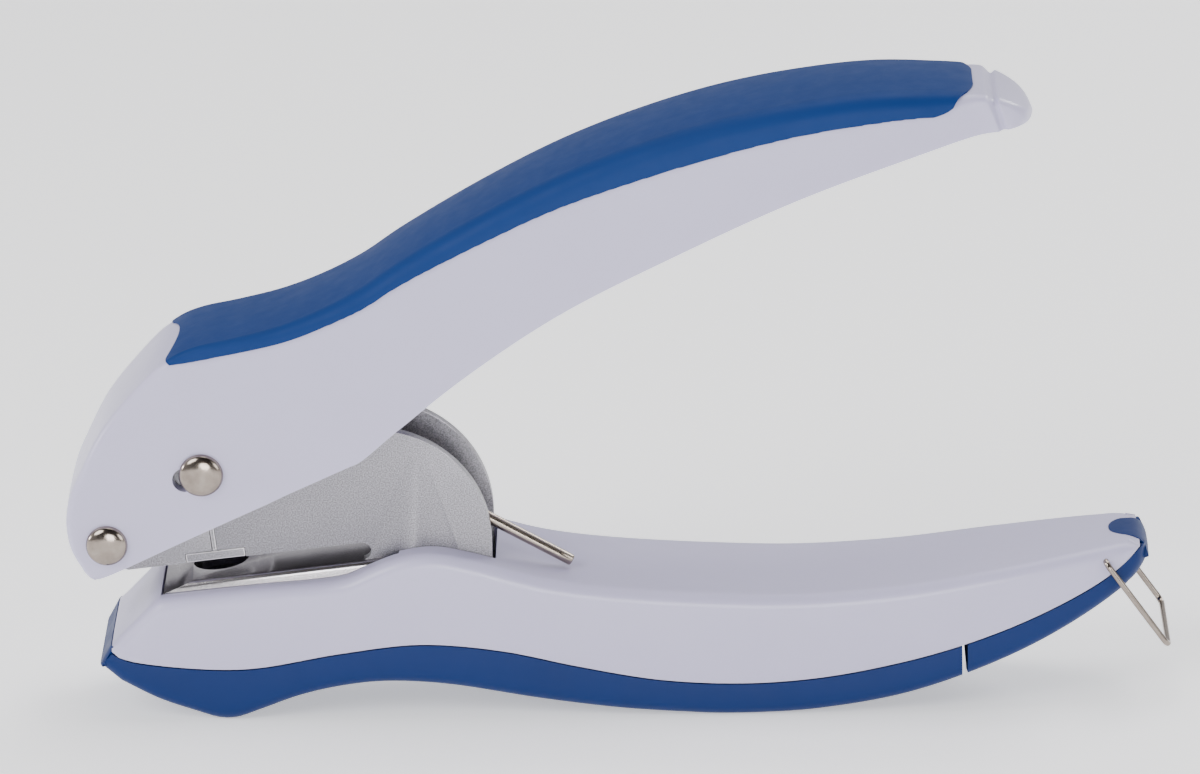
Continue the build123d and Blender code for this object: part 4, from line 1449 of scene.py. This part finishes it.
@dataclass
class Metalwork:
    """Frame, die, punch, guide, rivets, spring and bail."""

    spring_centre: Point = (-25.2, 24.8)
    spring_radius: float = 3.5
    spring_wire: float = 1.35
    spring_pitch: float = 1.38
    spring_turns: float = 4.1
    front_side: float = 2.3
    front_slope: float = 6.0
    back_slope: float = 30.0
    front_length: float = 20.4
    back_length: float = 21.0
    bail_hole: Point = (56.2, 17.3)
    bail_wire: float = 0.7
    bail_leg: float = 12.4
    bail_angle: float = -55.0
    bail_half: float = 6.95
    bail_inside: float = 4.1

    def frame_plates(self) -> list[bpy.types.Object]:
        """Two gritty plates whose rounded rims carry a lighter finish as a painted highlight, and the guide
        in their windows.

        Returns:
            The objects.
        """
        made = []
        for node, width in (
            ("frame_plate_near", 0.42),
            ("frame_plate_far", 0.42),
            ("die_plate", 0.3),
            ("punch_guide", 0.14),
            ("frame_spacer", 0.2),
        ):
            is_die = node == "die_plate"
            face = FINISHES[Slot.DIE if is_die else Slot.CAST]
            # The rounded edges get the lighter rim finish, a painted highlight.
            piece = from_node(node + "_cast", node, [face, FINISHES[Slot.RIM_HIGHLIGHT]], width, 3, 1)
            made.append(piece)
        return made

    def small_parts(self) -> list[bpy.types.Object]:
        """Washers, punch and pins with broken edges.

        Returns:
            The objects.
        """
        made = []
        for node, slot, width in (
            ("pivot_rivet_washer", Slot.BRIGHT, 0.1),
            ("drive_rivet_washer", Slot.BRIGHT, 0.1),
            ("punch", Slot.TOOL, 0.12),
            ("spring_pin", Slot.ZINC, 0.15),
            ("tray_hinge_pin", Slot.BRIGHT, 0.08),
        ):
            piece = from_node(node + "_part", node, [FINISHES[slot]], width)
            made.append(piece)
        for node in ("spacer_pins", "frame_screws"):
            frame["nodes"][node].data.materials.clear()
            frame["nodes"][node].data.materials.append(FINISHES[Slot.ZINC])
        return made

    def rivets(self) -> list[bpy.types.Object]:
        """Pivot rivet and drive rivet.

        Returns:
            The objects.
        """
        return [
            Rivet("pivot_rivet", PIVOT, "lever", head=4.8).build(),
            Rivet("drive_rivet", DRIVE, "ram", head=5.1).build(),
        ]

    def spring(self) -> bpy.types.Object:
        """Torsion spring whose front leg reaches forward to the punch.

        Returns:
            The object.
        """
        cx, cz = self.spring_centre
        path: list[Vector] = []
        start = math.radians(90 + self.front_slope)
        out = math.radians(180 + self.front_slope)
        first = Vector((cx + self.spring_radius * math.cos(start), self.front_side,
                        cz + self.spring_radius * math.sin(start)))
        way = Vector((math.cos(out), 0, math.sin(out)))
        for k in range(25):
            path.append(first + way * self.front_length * (1 - k / 24))
        steps = round(self.spring_turns * 40)
        for k in range(1, steps + 1):
            turn = self.spring_turns * k / steps
            angle = start - 2 * math.pi * turn
            x = cx + self.spring_radius * math.cos(angle)
            z = cz + self.spring_radius * math.sin(angle)
            path.append(Vector((x, self.front_side - self.spring_pitch * turn, z)))
        last = path[-1]
        down = math.radians(-self.back_slope)
        for k in range(1, 13):
            path.append(last + Vector((math.cos(down), 0, math.sin(down))) * self.back_length * k / 12)
        piece = wire("return_spring_wire", path, self.spring_wire / 2, [FINISHES[Slot.SPRING]], 18)
        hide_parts("return_spring")
        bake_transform(piece)
        return piece

    def bail(self) -> bpy.types.Object:
        """Wire bail hooked into the tail.

        Returns:
            The object.
        """
        angle = math.radians(self.bail_angle)
        hx, hz = self.bail_hole
        ex, ez = hx + self.bail_leg * math.cos(angle), hz + self.bail_leg * math.sin(angle)
        h = self.bail_half
        corners = [Vector((hx, -self.bail_inside, hz)), Vector((hx, -h, hz)), Vector((ex, -h, ez)),
                   Vector((ex, h, ez)), Vector((hx, h, hz)), Vector((hx, self.bail_inside, hz))]
        path = bent_path(corners, 0.9)
        piece = wire("lock_bail_wire", path, self.bail_wire / 2, [FINISHES[Slot.BRIGHT]], 18)
        return dress(piece, Slot.BRIGHT, "bail", "lock_bail")


# --------------------------------------------------------------------------- studio
@dataclass
class Studio:
    """Pale floor, soft lights and the camera."""

    camera_at: Place = (11.71, -852.9, 347.58)
    target: Place = (-1.888, 0.0, 37.34)
    up: Place = (0.01565, 0.34201, 0.93957)
    lens: float = 236.8
    lights: tuple[tuple[str, Place, float, float], ...] = (
        ("key", (-420.0, -420.0, 480.0), 420.0, 3.2),
        ("left", (-620.0, -60.0, 150.0), 110.0, 1.1),
        ("right", (560.0, -420.0, 260.0), 360.0, 1.2),
        ("top", (60.0, 120.0, 640.0), 420.0, 1.7),
        ("rim", (420.0, 420.0, 380.0), 260.0, 1.8),
        ("front", (40.0, -760.0, 140.0), 300.0, 2.4),
    )
    dark_way: Place = (0.05, -0.75, 0.66)

    def build(self) -> None:
        """Place floor, lights, world and camera."""
        self._floor()
        for name, place, size, power in self.lights:
            self._light(name, place, size, power)
        self._world()
        self._camera()

    def _world(self) -> None:
        """Bright surroundings with a dim patch above and behind the viewer."""
        world = bpy.data.worlds.new("studio")
        world.use_nodes = True
        tree = world.node_tree
        background = tree.nodes["Background"]
        background.inputs["Strength"].default_value = 0.8
        way = tree.nodes.new("ShaderNodeTexCoord").outputs["Generated"]
        dot = tree.nodes.new("ShaderNodeVectorMath")
        dot.operation = "DOT_PRODUCT"
        dot.inputs[1].default_value = self.dark_way
        tree.links.new(way, dot.inputs[0])
        ramp = tree.nodes.new("ShaderNodeValToRGB")
        ramp.color_ramp.elements[0].position = 0.35
        ramp.color_ramp.elements[0].color = (0.95, 0.95, 0.98, 1)
        ramp.color_ramp.elements[1].position = 0.86
        ramp.color_ramp.elements[1].color = (0.06, 0.055, 0.055, 1)
        tree.links.new(dot.outputs["Value"], ramp.inputs["Fac"])
        tree.links.new(ramp.outputs["Color"], background.inputs["Color"])
        bpy.context.scene.world = world

    def _floor(self) -> None:
        """Pale floor that shines a little by itself."""
        bm = bmesh.new()
        bmesh.ops.create_grid(bm, x_segments=1, y_segments=1, size=3.0)
        material = bpy.data.materials.new("floor")
        material.use_nodes = True
        shader = material.node_tree.nodes["Principled BSDF"]
        shader.inputs["Base Color"].default_value = (0.93, 0.93, 0.94, 1)
        shader.inputs["Roughness"].default_value = 0.7
        shader.inputs["Emission Color"].default_value = (1, 1, 1, 1)
        shader.inputs["Emission Strength"].default_value = 0.55
        floor = finish_mesh(bm, "floor", [material], Vector((0, 0, 1)))

    def _light(self, name: str, place: Place, size: float, power: float) -> None:
        """Round soft light that faces the object.

        Args:
            name: Its name.
            place: Its place in millimetres.
            size: Its diameter in millimetres.
            power: Its power in watts.
        """
        data = bpy.data.lights.new(name, "AREA")
        data.shape = "DISK"
        data.size = size * MM
        data.energy = power
        lamp = bpy.data.objects.new(name, data)
        lamp.location = Vector(place) * MM
        way = Vector(self.target) - Vector(place)
        lamp.rotation_euler = way.to_track_quat("-Z", "Y").to_euler()
        bpy.context.scene.collection.objects.link(lamp)

    def _camera(self) -> None:
        """Long lens a little above the object."""
        data = bpy.data.cameras.new("camera")
        data.lens = self.lens
        data.sensor_width = 36
        data.clip_end = 20
        camera = bpy.data.objects.new("camera", data)
        back = (Vector(self.camera_at) - Vector(self.target)).normalized()
        right = Vector(self.up).cross(back).normalized()
        up = back.cross(right)
        turn = Matrix((right, up, back)).transposed().to_4x4()
        camera.matrix_world = Matrix.Translation(Vector(self.camera_at) * MM) @ turn
        bpy.context.scene.collection.objects.link(camera)
        bpy.context.scene.camera = camera


def main() -> None:
    """Build the whole scene."""
    lower = LowerHandle()
    lower.shell()
    lower.tray()
    lower.nose_strip()
    lower.bridge()
    lower.hinge_ears()
    lower.cap()
    lower.cap_front()
    lower.tongue()
    upper = UpperHandle()
    upper.shell()
    upper.grip()
    metal = Metalwork()
    metal.frame_plates()
    metal.small_parts()
    metal.rivets()
    metal.spring()
    metal.bail()
    Studio().build()


if __name__ == "__main__":
    main()
